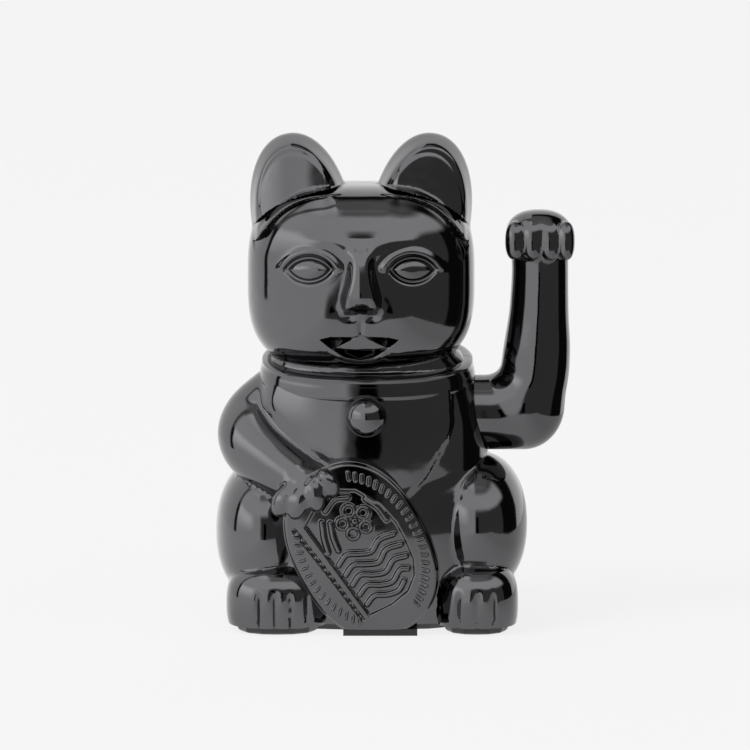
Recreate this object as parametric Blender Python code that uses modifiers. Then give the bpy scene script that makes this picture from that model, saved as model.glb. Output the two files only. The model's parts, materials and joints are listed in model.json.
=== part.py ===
"""Beckoning cat figurine: two hollow shells on a base plate, and an arm that swings on a pendulum.

The cat faces -Y, and its raised arm is at +X. The origin is on the floor, under the middle of the body.
"""

import math
from collections import namedtuple

import bmesh
import bpy
from mathutils import Euler, Vector

MM = 0.001


def mm(*sizes):
    """A vector in metres from sizes in millimetres."""
    return Vector(sizes) * MM


# Clearances. A touching pair keeps TOUCH_GAP, a turning fit TURN_GAP all round.
TOUCH_GAP = 0.3 * MM
TURN_GAP = 0.1 * MM
SWING_GAP = 0.9 * MM

# Walls.
SHELL_WALL = 2.0 * MM
ARM_WALL = 1.4 * MM
BASE_THICK = 2.0 * MM
BASE_INSET = 1.6 * MM

# The cell lies across the body behind the pendulum, and the screws behind it go into bosses.
CELL_RADIUS = 7.2 * MM
CELL_LENGTH = 49.2 * MM
CELL_NUB_RADIUS = 2.7 * MM
CELL_NUB_LENGTH = 1.3 * MM
CELL_X = -0.6 * MM
CELL_Y = 12.8 * MM
CELL_FLOOR_GAP = 0.5 * MM
BOSS_RADIUS = 3.3 * MM

# The hips reach back far enough for the cell, the bosses behind it and the wall, where the foot curves in.
HIPS_Y = 1.5 * MM
FOOT_CURVE = 4.3 * MM
HIPS_BACK = CELL_Y + CELL_RADIUS + 2 * (TOUCH_GAP + BOSS_RADIUS) + SHELL_WALL + FOOT_CURVE

# The body's rounded forms: centre, half sizes, and how square each is seen from above and from the side.
Lump = namedtuple("Lump", "name centre half round_xy round_z segments rings")

HIPS = Lump(
    "hips", Vector((0, HIPS_Y, 24 * MM)), Vector((41 * MM, HIPS_BACK - HIPS_Y, 34 * MM)), 3.0, 3.0, 24, 12
)
CHEST = Lump("chest", mm(-1, -3, 52), mm(36.5, 26.5, 42), 2.5, 2.4, 24, 14)
HEAD = Lump("head", mm(-3, -4, 105.5), mm(34.5, 28, 28.5), 2.5, 3.2, 28, 16)
HAUNCH_LEFT = Lump("haunch_left", mm(-32.5, -5, 28), mm(14.8, 26, 21.5), 2.2, 2.2, 18, 10)
HAUNCH_RIGHT = Lump("haunch_right", mm(32.5, -5, 30), mm(15.1, 26, 21.5), 2.2, 2.2, 18, 10)
FOOT_LEFT = Lump("foot_left", mm(-28.2, -20, 8), mm(15.7, 16, 13), 2.5, 2.8, 16, 10)
FOOT_RIGHT = Lump("foot_right", mm(31.9, -20, 8), mm(12.7, 16, 13), 2.5, 2.8, 16, 10)
HOLLOW_FORMS = (HIPS, CHEST, HEAD, HAUNCH_LEFT, HAUNCH_RIGHT, FOOT_LEFT, FOOT_RIGHT)

SEAM_Y = -4.0 * MM
SHELL_REACH = 200.0 * MM

# Head details, placed on the head's own surface.
EAR_HALF = mm(15.3, 12.5, 27)
EAR_SPREAD = 17.8 * MM
EAR_CENTRE_Z = 122.5 * MM
EAR_LEAN = math.radians(10)
EAR_HOLLOW_DEPTH = 2.6 * MM
EAR_HOLLOW_SHARE = (0.72, 0.8, 0.74)
EYE_STAND = 0.6 * MM
NOSE_STAND = 0.8 * MM
MOUTH_STAND = 0.6 * MM
EYE_HALF = mm(6.8, 2.4, 3.8)
EYE_SPREAD = 15.5 * MM
EYE_Z = 110.7 * MM
NOSE_HALF = mm(5.0, 5.5, 9.5)
NOSE_Z = 108.0 * MM
NOSE_LEAN = math.radians(-10)
MOUTH_HALF = mm(11.8, 2.6, 3.4)
MOUTH_Z = 87.0 * MM

# Collar, bell and tail.
COLLAR_HALF = mm(31.6, 25.4, 3.6)
COLLAR_CENTRE = mm(-1.1, -3.4, 77.6)
COLLAR_DROOP = math.radians(8)
BELL_RADIUS = 6.1 * MM
BELL_SINK = 1.8 * MM
BELL_X = -1.4 * MM
BELL_Z = 66.5 * MM
TAIL_ROUTE = (mm(22, 27, 10), mm(12, 32, 12), mm(1, 33.5, 17), mm(-4, 32, 24))
TAIL_RADII = (5.5 * MM, 5.5 * MM, 5.2 * MM, 3.6 * MM)

# The arm that holds the tablet.
HOLD_ROUTE = (mm(-25, -3, 68), mm(-33.4, -6, 60), mm(-34, -13, 53), mm(-27, -21, 47), mm(-20, -27, 44.5))
HOLD_RADII = (12.0 * MM, 12.3 * MM, 11.5 * MM, 9.6 * MM, 7.8 * MM)
HOLD_PAW = Lump("hold_paw", mm(-18.5, -30.5, 43.5), mm(8.6, 6.5, 8.2), 2.3, 2.3, 16, 10)

# The oval tablet, leaning to one side and back against the belly.
TABLET_HALF = mm(20.3, 4.5, 27.5)
TABLET_CENTRE = mm(-2.8, -31.5, 26.0)
TABLET_ROUND = 2.4
TABLET_SIDE_LEAN = math.radians(-29)
TABLET_BACK_LEAN = math.radians(-6)
TABLET_RIM = 4.2 * MM
TABLET_PANEL_DEPTH = 0.8 * MM

# The base plate's toe under the tablet, as shares of the tablet's half sizes.
TOE_LEFT_SHARE = 0.275
TOE_RIGHT_SHARE = 0.825
TOE_DEPTH_SHARE = 0.55

# The swinging arm turns about an X axis that lies in the seam. Its points count from the shoulder's flat.
AXIS_Z = 63.8 * MM
SHOULDER_CUT = 4.5 * MM
ARM_ROOT_RADIUS = 11.4 * MM
ARM_ROOT_LENGTH = 15.5 * MM
FOREARM_ROUTE = (
    mm(16.5, 0, 4),
    mm(18.5, 0, 11),
    mm(19.4, 0, 19),
    mm(20, 0, 30),
    mm(20.3, 0, 42),
    mm(20.2, -0.5, 50),
)
FOREARM_RADII = (10.8 * MM, 10.5 * MM, 10.2 * MM, 9.1 * MM, 8.6 * MM, 8.7 * MM)
PAW_CENTRE = mm(19.9, -1.2, 54.4)
PAW_HALF = mm(10.1, 9.2, 7.8)
FINGER_COUNT = 4
FINGER_HALF = mm(2.7, 3.6, 5.4)
FINGER_PITCH = 5.0 * MM
FINGER_OUT = 6.6 * MM
FINGER_DOWN = 2.4 * MM

# Pendulum: a hub with a square peg into the arm, a bar, and a magnet at its foot.
PEG_HALF = 2.5 * MM
PEG_GAP = 0.2 * MM
PEG_LENGTH = 7.0 * MM
HUB_RADIUS = 4.0 * MM
HUB_LENGTH = 17.7 * MM
LEVER_IN = 13.0 * MM
LEVER_BAR_HALF = mm(3.0, 1.4)
MAGNET_DROP = 42.0 * MM
MAGNET_RADIUS = 6.0 * MM
MAGNET_THICK = 5.0 * MM
PADDLE_THICK = 2.0 * MM
WEIGHT_HALF = mm(6.5, 2.2, 7.0)
WEIGHT_GAP = 1.0 * MM
WEIGHT_PEG_RADIUS = 1.3 * MM
PIN_RADIUS = 1.0 * MM
PIN_DEPTH = 9.0 * MM

# Bracket: a back plate with an inner post for the pin and an outer post with the hub's bearing.
POST_THICK = 2.6 * MM
POST_FACE = 1.0 * MM
BEARING_IN = 8.0 * MM
BEARING_WALL = 2.4 * MM
BRACKET_WALL_GAP = 1.4 * MM
BRACKET_PLATE = 2.4 * MM
BRACKET_PLATE_HALF_Z = 8.6 * MM
BRACKET_SCREW_REACH = 5.2 * MM

# Screws and the bosses that they go into.
SCREW_RADIUS = 1.25 * MM
SCREW_LENGTH = 8.5 * MM
SCREW_HEAD_RADIUS = 2.6 * MM
SCREW_HEAD_THICK = 1.5 * MM
BOSS_HEIGHT = 10.0 * MM
BOSS_RIB = 2.4 * MM
RIB_REACH = 12.0 * MM
PAD_THICK = 2.2 * MM
SCREW_IN_FROM_FOOT = 7.0 * MM
SCREW_BACK_SPREAD = 8.0 * MM

# Drive coil and its board.
COIL_HEIGHT = 12.0 * MM
COIL_FLANGE_RADIUS = 8.3 * MM
COIL_FLANGE_THICK = 1.2 * MM
COIL_CORE_RADIUS = 3.2 * MM
COIL_RADIUS = 7.6 * MM
BOARD_CENTRE = mm(-4.5, -9.0)
BOARD_HALF = mm(12.5, 8.0)
BOARD_THICK = 1.6 * MM
BOARD_LIFT = 3.0 * MM
BOARD_POST_RADIUS = 1.6 * MM
TRANSISTOR_HALF = mm(2.3, 1.8, 2.4)
CAPACITOR_RADIUS = 2.5 * MM
CAPACITOR_HEIGHT = 8.0 * MM

# Slide switch.
SWITCH_CENTRE = mm(-25.0, -8.0)
SWITCH_HALF = mm(5.5, 3.2)
SWITCH_HEIGHT = 5.5 * MM
SWITCH_SLOT_DEPTH = 3.0 * MM
KNOB_HALF = mm(1.5, 1.1)
KNOB_TRAVEL = 3.0 * MM
KNOB_FOOT_Z = 0.5 * MM

# The cell's contacts and leads.
SPRING_WIRE = 0.4 * MM
SPRING_LENGTH = 3.8 * MM
SPRING_TURNS = 3
CONTACT_THICK = 0.5 * MM
CONTACT_HALF = mm(4.0, 4.0)
END_WALL_THICK = 1.4 * MM
END_WALL_HEIGHT = 13.0 * MM
END_WALL_HALF = 4.6 * MM
WIRE_RADIUS = 0.6 * MM

# Values that follow from the ones above.
SHELL_FOOT_Z = BASE_THICK + TOUCH_GAP
SHOULDER_X = CHEST.centre.x + CHEST.half.x - SHOULDER_CUT
AXIS = Vector((SHOULDER_X, SEAM_Y, AXIS_Z))
LEVER_X = SHOULDER_X - LEVER_IN
BEARING_X = SHOULDER_X - BEARING_IN
HUB_END = SHOULDER_X - TOUCH_GAP
HUB_START = HUB_END - HUB_LENGTH
SCREW_BACK_Y = CELL_Y + CELL_RADIUS + 2 * TOUCH_GAP + BOSS_RADIUS
SCREW_SPOTS = {
    "front_left": (FOOT_LEFT.centre.xy + Vector((SCREW_IN_FROM_FOOT - FOOT_LEFT.half.x, 0)), mm(-1, 0)),
    "front_right": (FOOT_RIGHT.centre.xy + Vector((FOOT_RIGHT.half.x - SCREW_IN_FROM_FOOT, 0)), mm(1, 0)),
    "back_left": (Vector((-SCREW_BACK_SPREAD, SCREW_BACK_Y)), mm(0, 1)),
    "back_right": (Vector((SCREW_BACK_SPREAD, SCREW_BACK_Y)), mm(0, 1)),
}
COIL_SPOT = Vector((LEVER_X, SEAM_Y, BASE_THICK + TOUCH_GAP))
CELL_Z = BASE_THICK + TOUCH_GAP + CELL_RADIUS + CELL_FLOOR_GAP
CELL_LOW_X = CELL_X - CELL_LENGTH / 2
CELL_HIGH_X = CELL_X + CELL_LENGTH / 2
CELL_TIP_X = CELL_LOW_X - CELL_NUB_LENGTH
PLATE_X = CELL_TIP_X - TOUCH_GAP - CONTACT_THICK
SPRING_END_X = CELL_HIGH_X + TOUCH_GAP + SPRING_LENGTH
DOOR_LOW = Vector((CELL_TIP_X - TOUCH_GAP, CELL_Y - CELL_RADIUS - TOUCH_GAP))
DOOR_HIGH = Vector((CELL_HIGH_X + TOUCH_GAP, CELL_Y + CELL_RADIUS + TOUCH_GAP))
BOARD_TOP_Z = BASE_THICK + BOARD_LIFT + BOARD_THICK


def remove_start_objects():
    for obj in list(bpy.data.objects):
        bpy.data.objects.remove(obj, do_unlink=True)


def new_collection(name, parent=None):
    collection = bpy.data.collections.new(name)
    (parent or bpy.context.scene.collection).children.link(collection)
    return collection


def new_object(name, mesh, collection, location=(0, 0, 0)):
    """Anything outside the cat's own collection only shapes other pieces, so it isn't rendered."""
    obj = bpy.data.objects.new(name, mesh)
    obj.location = location
    collection.objects.link(obj)
    if collection is not PARTS:
        obj.hide_render = True
        obj.display_type = "WIRE"
    return obj


def mesh_from(name, bm):
    bmesh.ops.recalc_face_normals(bm, faces=bm.faces)
    mesh = bpy.data.meshes.new(name)
    bm.to_mesh(mesh)
    bm.free()
    mesh.shade_smooth()
    mesh.set_sharp_from_angle(angle=math.radians(35))
    return mesh


def boolean(target, operation, other, solver="EXACT"):
    """Joins, cuts or keeps the overlap with one object or with all of a collection."""
    modifier = target.modifiers.new(operation.lower(), "BOOLEAN")
    modifier.operation = operation
    modifier.solver = solver
    if isinstance(other, bpy.types.Collection):
        modifier.operand_type = "COLLECTION"
        modifier.collection = other
    else:
        modifier.object = other


def block(name, low, high, collection):
    bm = bmesh.new()
    bmesh.ops.create_cube(bm, size=1.0)
    size = Vector(high) - Vector(low)
    bmesh.ops.scale(bm, vec=size, verts=bm.verts)
    return new_object(name, mesh_from(name, bm), collection, (Vector(low) + Vector(high)) / 2)


def around(radius, sides):
    """The corner radius of a round hole whose flats are this far from its axis."""
    return radius / math.cos(math.pi / sides)


def rod(name, start, end, radius, collection, sides=20, end_radius=None):
    """A cylinder or cone between two points."""
    start, end = Vector(start), Vector(end)
    bm = bmesh.new()
    bmesh.ops.create_cone(
        bm,
        cap_ends=True,
        segments=sides,
        radius1=radius,
        radius2=radius if end_radius is None else end_radius,
        depth=(end - start).length,
    )
    turn = (end - start).to_track_quat("Z", "Y").to_matrix()
    bmesh.ops.rotate(bm, cent=(0, 0, 0), matrix=turn, verts=bm.verts)
    return new_object(name, mesh_from(name, bm), collection, (start + end) / 2)


def turned(name, profile, location, collection, turn=(0, 0, 0), steps=24):
    """A solid of revolution about its own Z from (radius, height) points, outer side running down."""
    bm = bmesh.new()
    verts = [bm.verts.new((radius, 0, height)) for radius, height in profile]
    for first, second in zip(verts, verts[1:]):
        bm.edges.new((first, second))
    if profile[0][0] > 0:
        bm.edges.new((verts[-1], verts[0]))
    mesh = bpy.data.meshes.new(name)
    bm.to_mesh(mesh)
    bm.free()
    obj = new_object(name, mesh, collection, location)
    obj.rotation_euler = turn
    screw = obj.modifiers.new("turn", "SCREW")
    screw.steps = steps
    screw.render_steps = steps
    screw.use_merge_vertices = True
    screw.merge_threshold = 0.00001
    return obj


def rounded_outline(half_x, half_y, power, count):
    """Points of a superellipse, for a rounded flat outline."""
    points = []
    for step in range(count):
        angle = 2 * math.pi * step / count
        cos, sin = math.cos(angle), math.sin(angle)
        reach = (abs(cos) ** power + abs(sin) ** power) ** (-1 / power)
        points.append((half_x * cos * reach, half_y * sin * reach))
    return points


def lump_object(lump, collection, inset=0.0, lean=(0, 0, 0)):
    """A ball drawn out into a rounded block, smaller all round by the inset."""
    bm = bmesh.new()
    bmesh.ops.create_uvsphere(bm, u_segments=lump.segments, v_segments=lump.rings, radius=1.0)
    half = [size - inset for size in lump.half]
    for vert in bm.verts:
        x, y, z = (abs(value) for value in vert.co)
        level = (x**lump.round_xy + y**lump.round_xy) ** (lump.round_z / lump.round_xy) + z**lump.round_z
        reach = level ** (-1 / lump.round_z)
        vert.co = [value * size * reach for value, size in zip(vert.co, half)]
    bmesh.ops.rotate(bm, cent=(0, 0, 0), matrix=Euler(lean).to_matrix(), verts=bm.verts)
    return new_object(lump.name, mesh_from(lump.name, bm), collection, lump.centre)


def front_of(lump, x, z):
    """The Y of a lump's front surface at this X and Z."""
    across = abs((x - lump.centre.x) / lump.half.x) ** lump.round_xy
    height = abs((z - lump.centre.z) / lump.half.z) ** lump.round_z
    depth = max((1 - height) ** (lump.round_xy / lump.round_z) - across, 0.0) ** (1 / lump.round_xy)
    return lump.centre.y - lump.half.y * depth


def back_room(lump, inset, x, z):
    """The Y of the hollow's back inside a lump at this X and Z, for a wall of this inset."""
    hollow = lump._replace(half=lump.half - Vector((inset, inset, inset)))
    return 2 * hollow.centre.y - front_of(hollow, x, z)


def bracket_back_y():
    """Where the bracket's plate starts, so that its far corner just clears the back shell."""
    corner_x = BEARING_X + POST_THICK / 2
    corner_z = AXIS.z + BRACKET_PLATE_HALF_Z
    return back_room(CHEST, SHELL_WALL, corner_x, corner_z) - BRACKET_WALL_GAP - BRACKET_PLATE


def smooth_route(points, steps):
    """Points along a smooth curve through the given ones (Catmull-Rom)."""
    padded = [2 * points[0] - points[1], *points, 2 * points[-1] - points[-2]]
    route = []
    for before, start, end, after in zip(padded, padded[1:], padded[2:], padded[3:]):
        for step in range(steps):
            t = step / steps
            route.append(
                0.5
                * (
                    2 * start
                    + (end - before) * t
                    + (2 * before - 5 * start + 4 * end - after) * t**2
                    + (3 * start - before - 3 * end + after) * t**3
                )
            )
    return [*route, points[-1]]


def tube_curve(name, points, radii, resolution, collection):
    curve = bpy.data.curves.new(name, "CURVE")
    curve.dimensions = "3D"
    curve.bevel_depth = 1.0
    curve.bevel_resolution = resolution
    curve.use_fill_caps = True
    spline = curve.splines.new("POLY")
    spline.points.add(len(points) - 1)
    for place, point, radius in zip(spline.points, points, radii):
        place.co = (*point, 1.0)
        place.radius = radius
    return new_object(name, curve, collection)


def limb(name, route, radii, collection, inset=0.0, steps=3, resolution=5):
    """A smooth limb of changing radius as a closed mesh, so that it can be joined and cut."""
    points = smooth_route([Vector((*point, radius)) for point, radius in zip(route, radii)], steps)
    curve = tube_curve(
        name, [point.xyz for point in points], [point.w - inset for point in points], resolution, collection
    )
    graph = bpy.context.evaluated_depsgraph_get()
    bm = bmesh.new()
    bm.from_mesh(bpy.data.meshes.new_from_object(curve.evaluated_get(graph)))
    bmesh.ops.remove_doubles(bm, verts=bm.verts, dist=0.000001)
    place = curve.matrix_world.copy()
    bpy.data.objects.remove(curve, do_unlink=True)
    obj = new_object(name, mesh_from(name, bm), collection)
    obj.matrix_world = place
    return obj


def material(name, colour, roughness, metallic=0.0):
    made = bpy.data.materials.new(name)
    made.use_nodes = True
    shader = made.node_tree.nodes["Principled BSDF"]
    shader.inputs["Base Color"].default_value = (*colour, 1.0)
    shader.inputs["Roughness"].default_value = roughness
    shader.inputs["Metallic"].default_value = metallic
    made.diffuse_color = (*colour, 1.0)
    return made


def paint(obj, made):
    obj.data.materials.append(made)
    return obj


def make_ears(collection):
    """Rounded upright ears, each with a shallow hollow in its front."""
    for side, name in ((-1, "ear_left"), (1, "ear_right")):
        centre = Vector((HEAD.centre.x + side * EAR_SPREAD, HEAD.centre.y, EAR_CENTRE_Z))
        ear = Lump(name, centre, EAR_HALF, 2.0, 2.1, 16, 12)
        ear_object = lump_object(ear, collection, lean=(0, side * EAR_LEAN, 0))
        hollow_half = Vector([half * share for half, share in zip(EAR_HALF, EAR_HOLLOW_SHARE)])
        hollow_centre = centre - Vector((0, EAR_HALF.y + hollow_half.y - EAR_HOLLOW_DEPTH, 0))
        hollow = Lump(name + "_hollow", hollow_centre, hollow_half, 2.0, 2.1, 14, 8)
        boolean(ear_object, "DIFFERENCE", lump_object(hollow, HELPERS, lean=(0, side * EAR_LEAN, 0)))


def make_face(collection):
    """Almond eyes, a straight nose and full lips on the head's front."""
    for side, name in ((-1, "eye_left"), (1, "eye_right")):
        x = HEAD.centre.x + side * EYE_SPREAD
        centre = Vector((x, front_of(HEAD, x, EYE_Z) + EYE_STAND, EYE_Z))
        lump_object(Lump(name, centre, EYE_HALF, 2.0, 2.0, 12, 6), collection)
    nose_centre = Vector((HEAD.centre.x, front_of(HEAD, HEAD.centre.x, NOSE_Z) + NOSE_STAND, NOSE_Z))
    nose = Lump("nose", nose_centre, NOSE_HALF, 2.0, 2.4, 10, 8)
    lump_object(nose, collection, lean=(NOSE_LEAN, 0, 0))
    mouth_x = HEAD.centre.x
    mouth_centre = Vector((mouth_x, front_of(HEAD, mouth_x, MOUTH_Z) + MOUTH_STAND, MOUTH_Z))
    lump_object(Lump("mouth", mouth_centre, MOUTH_HALF, 2.0, 2.0, 14, 6), collection)


def make_collar_and_bell(collection):
    collar = Lump("collar", COLLAR_CENTRE, COLLAR_HALF, 2.4, 7.0, 28, 8)
    lump_object(collar, collection, lean=(COLLAR_DROOP, 0, 0))
    bell_centre = Vector((BELL_X, front_of(CHEST, BELL_X, BELL_Z) - BELL_RADIUS + BELL_SINK, BELL_Z))
    lump_object(Lump("bell", bell_centre, Vector((BELL_RADIUS, BELL_RADIUS, BELL_RADIUS)), 2.0, 2.0, 14, 8), collection)


def make_tablet(collection):
    """The oval tablet's slab, with a sunken panel inside a raised rim."""
    lean = Euler((TABLET_BACK_LEAN, TABLET_SIDE_LEAN, 0))
    slabs = []
    for name, half_x, half_z, front, home in (
        ("tablet", TABLET_HALF.x, TABLET_HALF.z, TABLET_HALF.y, collection),
        ("tablet_panel", TABLET_HALF.x - TABLET_RIM, TABLET_HALF.z - TABLET_RIM, TABLET_HALF.y * 2, HELPERS),
    ):
        bm = bmesh.new()
        outline = [bm.verts.new((x, front, z)) for x, z in rounded_outline(half_x, half_z, TABLET_ROUND, 28)]
        face = bm.faces.new(outline)
        made = bmesh.ops.extrude_face_region(bm, geom=[face])
        back = [item for item in made["geom"] if isinstance(item, bmesh.types.BMVert)]
        bmesh.ops.translate(bm, vec=(0, -2 * front, 0), verts=back)
        bmesh.ops.translate(bm, vec=(0, 0 if home is collection else panel_shift(), 0), verts=bm.verts)
        bmesh.ops.rotate(bm, cent=(0, 0, 0), matrix=lean.to_matrix(), verts=bm.verts)
        slabs.append(new_object(name, mesh_from(name, bm), home, TABLET_CENTRE))
    boolean(slabs[0], "DIFFERENCE", slabs[1])


def panel_shift():
    """How far forward the panel's cutter stands, so that it sinks by the panel's depth."""
    return -TABLET_HALF.y - TABLET_HALF.y * 2 + TABLET_PANEL_DEPTH


def body_forms(collection, inset):
    """The rounded forms of the body, the size of the outside or of the hollow inside it."""
    for lump in HOLLOW_FORMS:
        lump_object(lump, collection, inset)
    limb("hold_arm", HOLD_ROUTE, HOLD_RADII, collection, inset, steps=2, resolution=5)


def on_axis(x):
    """The point of the arm's axis at this X."""
    return Vector((x, AXIS.y, AXIS.z))


def arm_turn_cutter(name, radius, start_x, collection):
    return rod(name, (start_x, AXIS.y, AXIS.z), (SHELL_REACH, AXIS.y, AXIS.z), radius, collection, sides=28)


def make_outer_form():
    """The whole outside of the body, cut away round the swinging arm's root."""
    forms = new_collection("outer_forms", HELPERS)
    body_forms(forms, 0.0)
    lump_object(HOLD_PAW, forms)
    make_ears(forms)
    make_face(forms)
    make_collar_and_bell(forms)
    make_tablet(forms)
    limb("tail", TAIL_ROUTE, TAIL_RADII, forms, steps=2, resolution=3)
    outer = join_all("outer_form", forms)
    arm_room = arm_turn_cutter("arm_room", ARM_ROOT_RADIUS + SWING_GAP, SHOULDER_X, HELPERS)
    boolean(outer, "DIFFERENCE", arm_room)
    return outer


def join_all(name, forms):
    """The union of a collection, started from a small core inside its first form."""
    centre = HIPS.centre
    core = block(name, centre - mm(5, 5, 5), centre + mm(5, 5, 5), HELPERS)
    boolean(core, "UNION", forms)
    return core


def make_cavity_form():
    """The hollow inside the shells, less the bosses and the wall behind the arm's root."""
    forms = new_collection("cavity_forms", HELPERS)
    body_forms(forms, SHELL_WALL)
    cavity = join_all("cavity_form", forms)
    kept = new_collection("kept_in_cavity", HELPERS)
    arm_turn_cutter("shoulder_wall", ARM_ROOT_RADIUS + SWING_GAP + SHELL_WALL, SHOULDER_X - SHELL_WALL, kept)
    boss_foot = BASE_THICK + PAD_THICK + TOUCH_GAP
    for spot, (place, outward) in SCREW_SPOTS.items():
        low = Vector((*place, boss_foot))
        high = low + Vector((0, 0, BOSS_HEIGHT))
        rod("boss_" + spot, low, high, BOSS_RADIUS, kept, sides=16)
        side = Vector((outward.y, outward.x)) / MM * BOSS_RIB / 2
        reach = place + outward / MM * RIB_REACH
        side = Vector((abs(side.x), abs(side.y)))
        corner_low = Vector((min(place.x, reach.x), min(place.y, reach.y))) - side
        corner_high = Vector((max(place.x, reach.x), max(place.y, reach.y))) + side
        block("rib_" + spot, (*corner_low, boss_foot), (*corner_high, high.z), kept)
    for place in bracket_screw_places():
        back = Vector((place.x, HIPS.centre.y + HIPS.half.y, place.z))
        front = place + Vector((0, BRACKET_PLATE + TOUCH_GAP, 0))
        rod("bracket_boss", front, back, BOSS_RADIUS, kept, sides=16)
    boolean(cavity, "DIFFERENCE", kept)
    return cavity


def bracket_screw_places():
    """Where the bracket's two screws cross the front of its back plate."""
    return [
        Vector((LEVER_X, bracket_back_y(), AXIS.z + side * BRACKET_SCREW_REACH)) for side in (1, -1)
    ]


def make_shells(gloss):
    """The front and back halves of the hollow body, parted at the seam."""
    outer = make_outer_form()
    cavity = make_cavity_form()
    holes = new_collection("shell_holes", HELPERS)
    pilot = around(SCREW_RADIUS + TURN_GAP, 12)
    for spot, (place, _outward) in SCREW_SPOTS.items():
        low = Vector((*place, 0))
        rod("pilot_" + spot, low, low + Vector((0, 0, SCREW_LENGTH + 4 * MM)), pilot, holes, sides=12)
    for place in bracket_screw_places():
        rod("bracket_pilot", place, place + Vector((0, SCREW_LENGTH + 1 * MM, 0)), pilot, holes, sides=12)
    hub_room = around(HUB_RADIUS + SWING_GAP, 20)
    rod("hub_hole", on_axis(SHOULDER_X - 2 * SHELL_WALL), on_axis(SHOULDER_X + SHELL_WALL), hub_room, holes)
    halves = (
        ("front_shell", -SHELL_REACH, SEAM_Y - TOUCH_GAP / 2),
        ("back_shell", SEAM_Y + TOUCH_GAP / 2, SHELL_REACH),
    )
    for name, low_y, high_y in halves:
        shell = block(name, (-SHELL_REACH, low_y, SHELL_FOOT_Z), (SHELL_REACH, high_y, SHELL_REACH), PARTS)
        boolean(shell, "INTERSECT", outer, "MANIFOLD")
        boolean(shell, "DIFFERENCE", cavity, "MANIFOLD")
        boolean(shell, "DIFFERENCE", holes, "MANIFOLD")
        paint(shell, gloss)


def arm_forms(collection, inset):
    """The swinging arm's root, elbow, forearm and paw."""
    start = AXIS + Vector((TOUCH_GAP + inset, 0, 0))
    end = AXIS + Vector((ARM_ROOT_LENGTH, 0, 0))
    rod("arm_root", start, end, ARM_ROOT_RADIUS - inset, collection, sides=24)
    round_half = mm(1, 1, 1) * (ARM_ROOT_RADIUS / MM)
    lump_object(Lump("elbow", end, round_half, 2.0, 2.0, 20, 12), collection, inset)
    route = [AXIS + point for point in FOREARM_ROUTE]
    limb("forearm", route, FOREARM_RADII, collection, inset, steps=2, resolution=5)
    lump_object(Lump("paw", AXIS + PAW_CENTRE, PAW_HALF, 2.3, 2.3, 16, 10), collection, inset)


def make_arm(gloss):
    """The raised arm in two glued halves, with a square socket for the pendulum's peg."""
    outer = new_collection("arm_outer", HELPERS)
    arm_forms(outer, 0.0)
    for index in range(FINGER_COUNT):
        across = (index - (FINGER_COUNT - 1) / 2) * FINGER_PITCH
        centre = AXIS + PAW_CENTRE + Vector((across, -FINGER_OUT, -FINGER_DOWN))
        lump_object(Lump(f"finger_{index}", centre, FINGER_HALF, 2.2, 2.2, 10, 6), outer)
    inner = new_collection("arm_inner", HELPERS)
    arm_forms(inner, ARM_WALL)
    elbow = AXIS + Vector((ARM_ROOT_LENGTH, 0, 0))
    hollow = block("arm_hollow", elbow - mm(2, 2, 2), elbow + mm(2, 2, 2), HELPERS)
    boolean(hollow, "UNION", inner)
    socket_end = AXIS + Vector((TOUCH_GAP + PEG_LENGTH + ARM_WALL, 0, 0))
    socket = rod("socket", AXIS, socket_end, PEG_HALF * 2, HELPERS, sides=16)
    boolean(hollow, "DIFFERENCE", socket)
    solid = block("arm_solid", elbow - mm(3, 3, 3), elbow + mm(3, 3, 3), HELPERS)
    boolean(solid, "UNION", outer)
    boolean(solid, "DIFFERENCE", hollow, "MANIFOLD")
    reach = PEG_HALF + PEG_GAP
    hole_low = AXIS + Vector((-MM, -reach, -reach))
    hole_high = AXIS + Vector((PEG_LENGTH + TOUCH_GAP, reach, reach))
    hole = block("peg_hole", hole_low, hole_high, HELPERS)
    halves = (
        ("arm_front_half", -SHELL_REACH, AXIS.y - TOUCH_GAP / 2),
        ("arm_back_half", AXIS.y + TOUCH_GAP / 2, SHELL_REACH),
    )
    for name, low_y, high_y in halves:
        half = block(name, (SHOULDER_X, low_y, 0), (SHELL_REACH, high_y, SHELL_REACH), PARTS)
        boolean(half, "INTERSECT", solid, "MANIFOLD")
        boolean(half, "DIFFERENCE", hole, "MANIFOLD")
        set_origin(half, AXIS)
        paint(half, gloss)


def set_origin(obj, point):
    """Moves an object's origin and leaves its shape where it is."""
    shift = obj.location - Vector(point)
    for vert in obj.data.vertices:
        vert.co += shift
    obj.location = point


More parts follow.
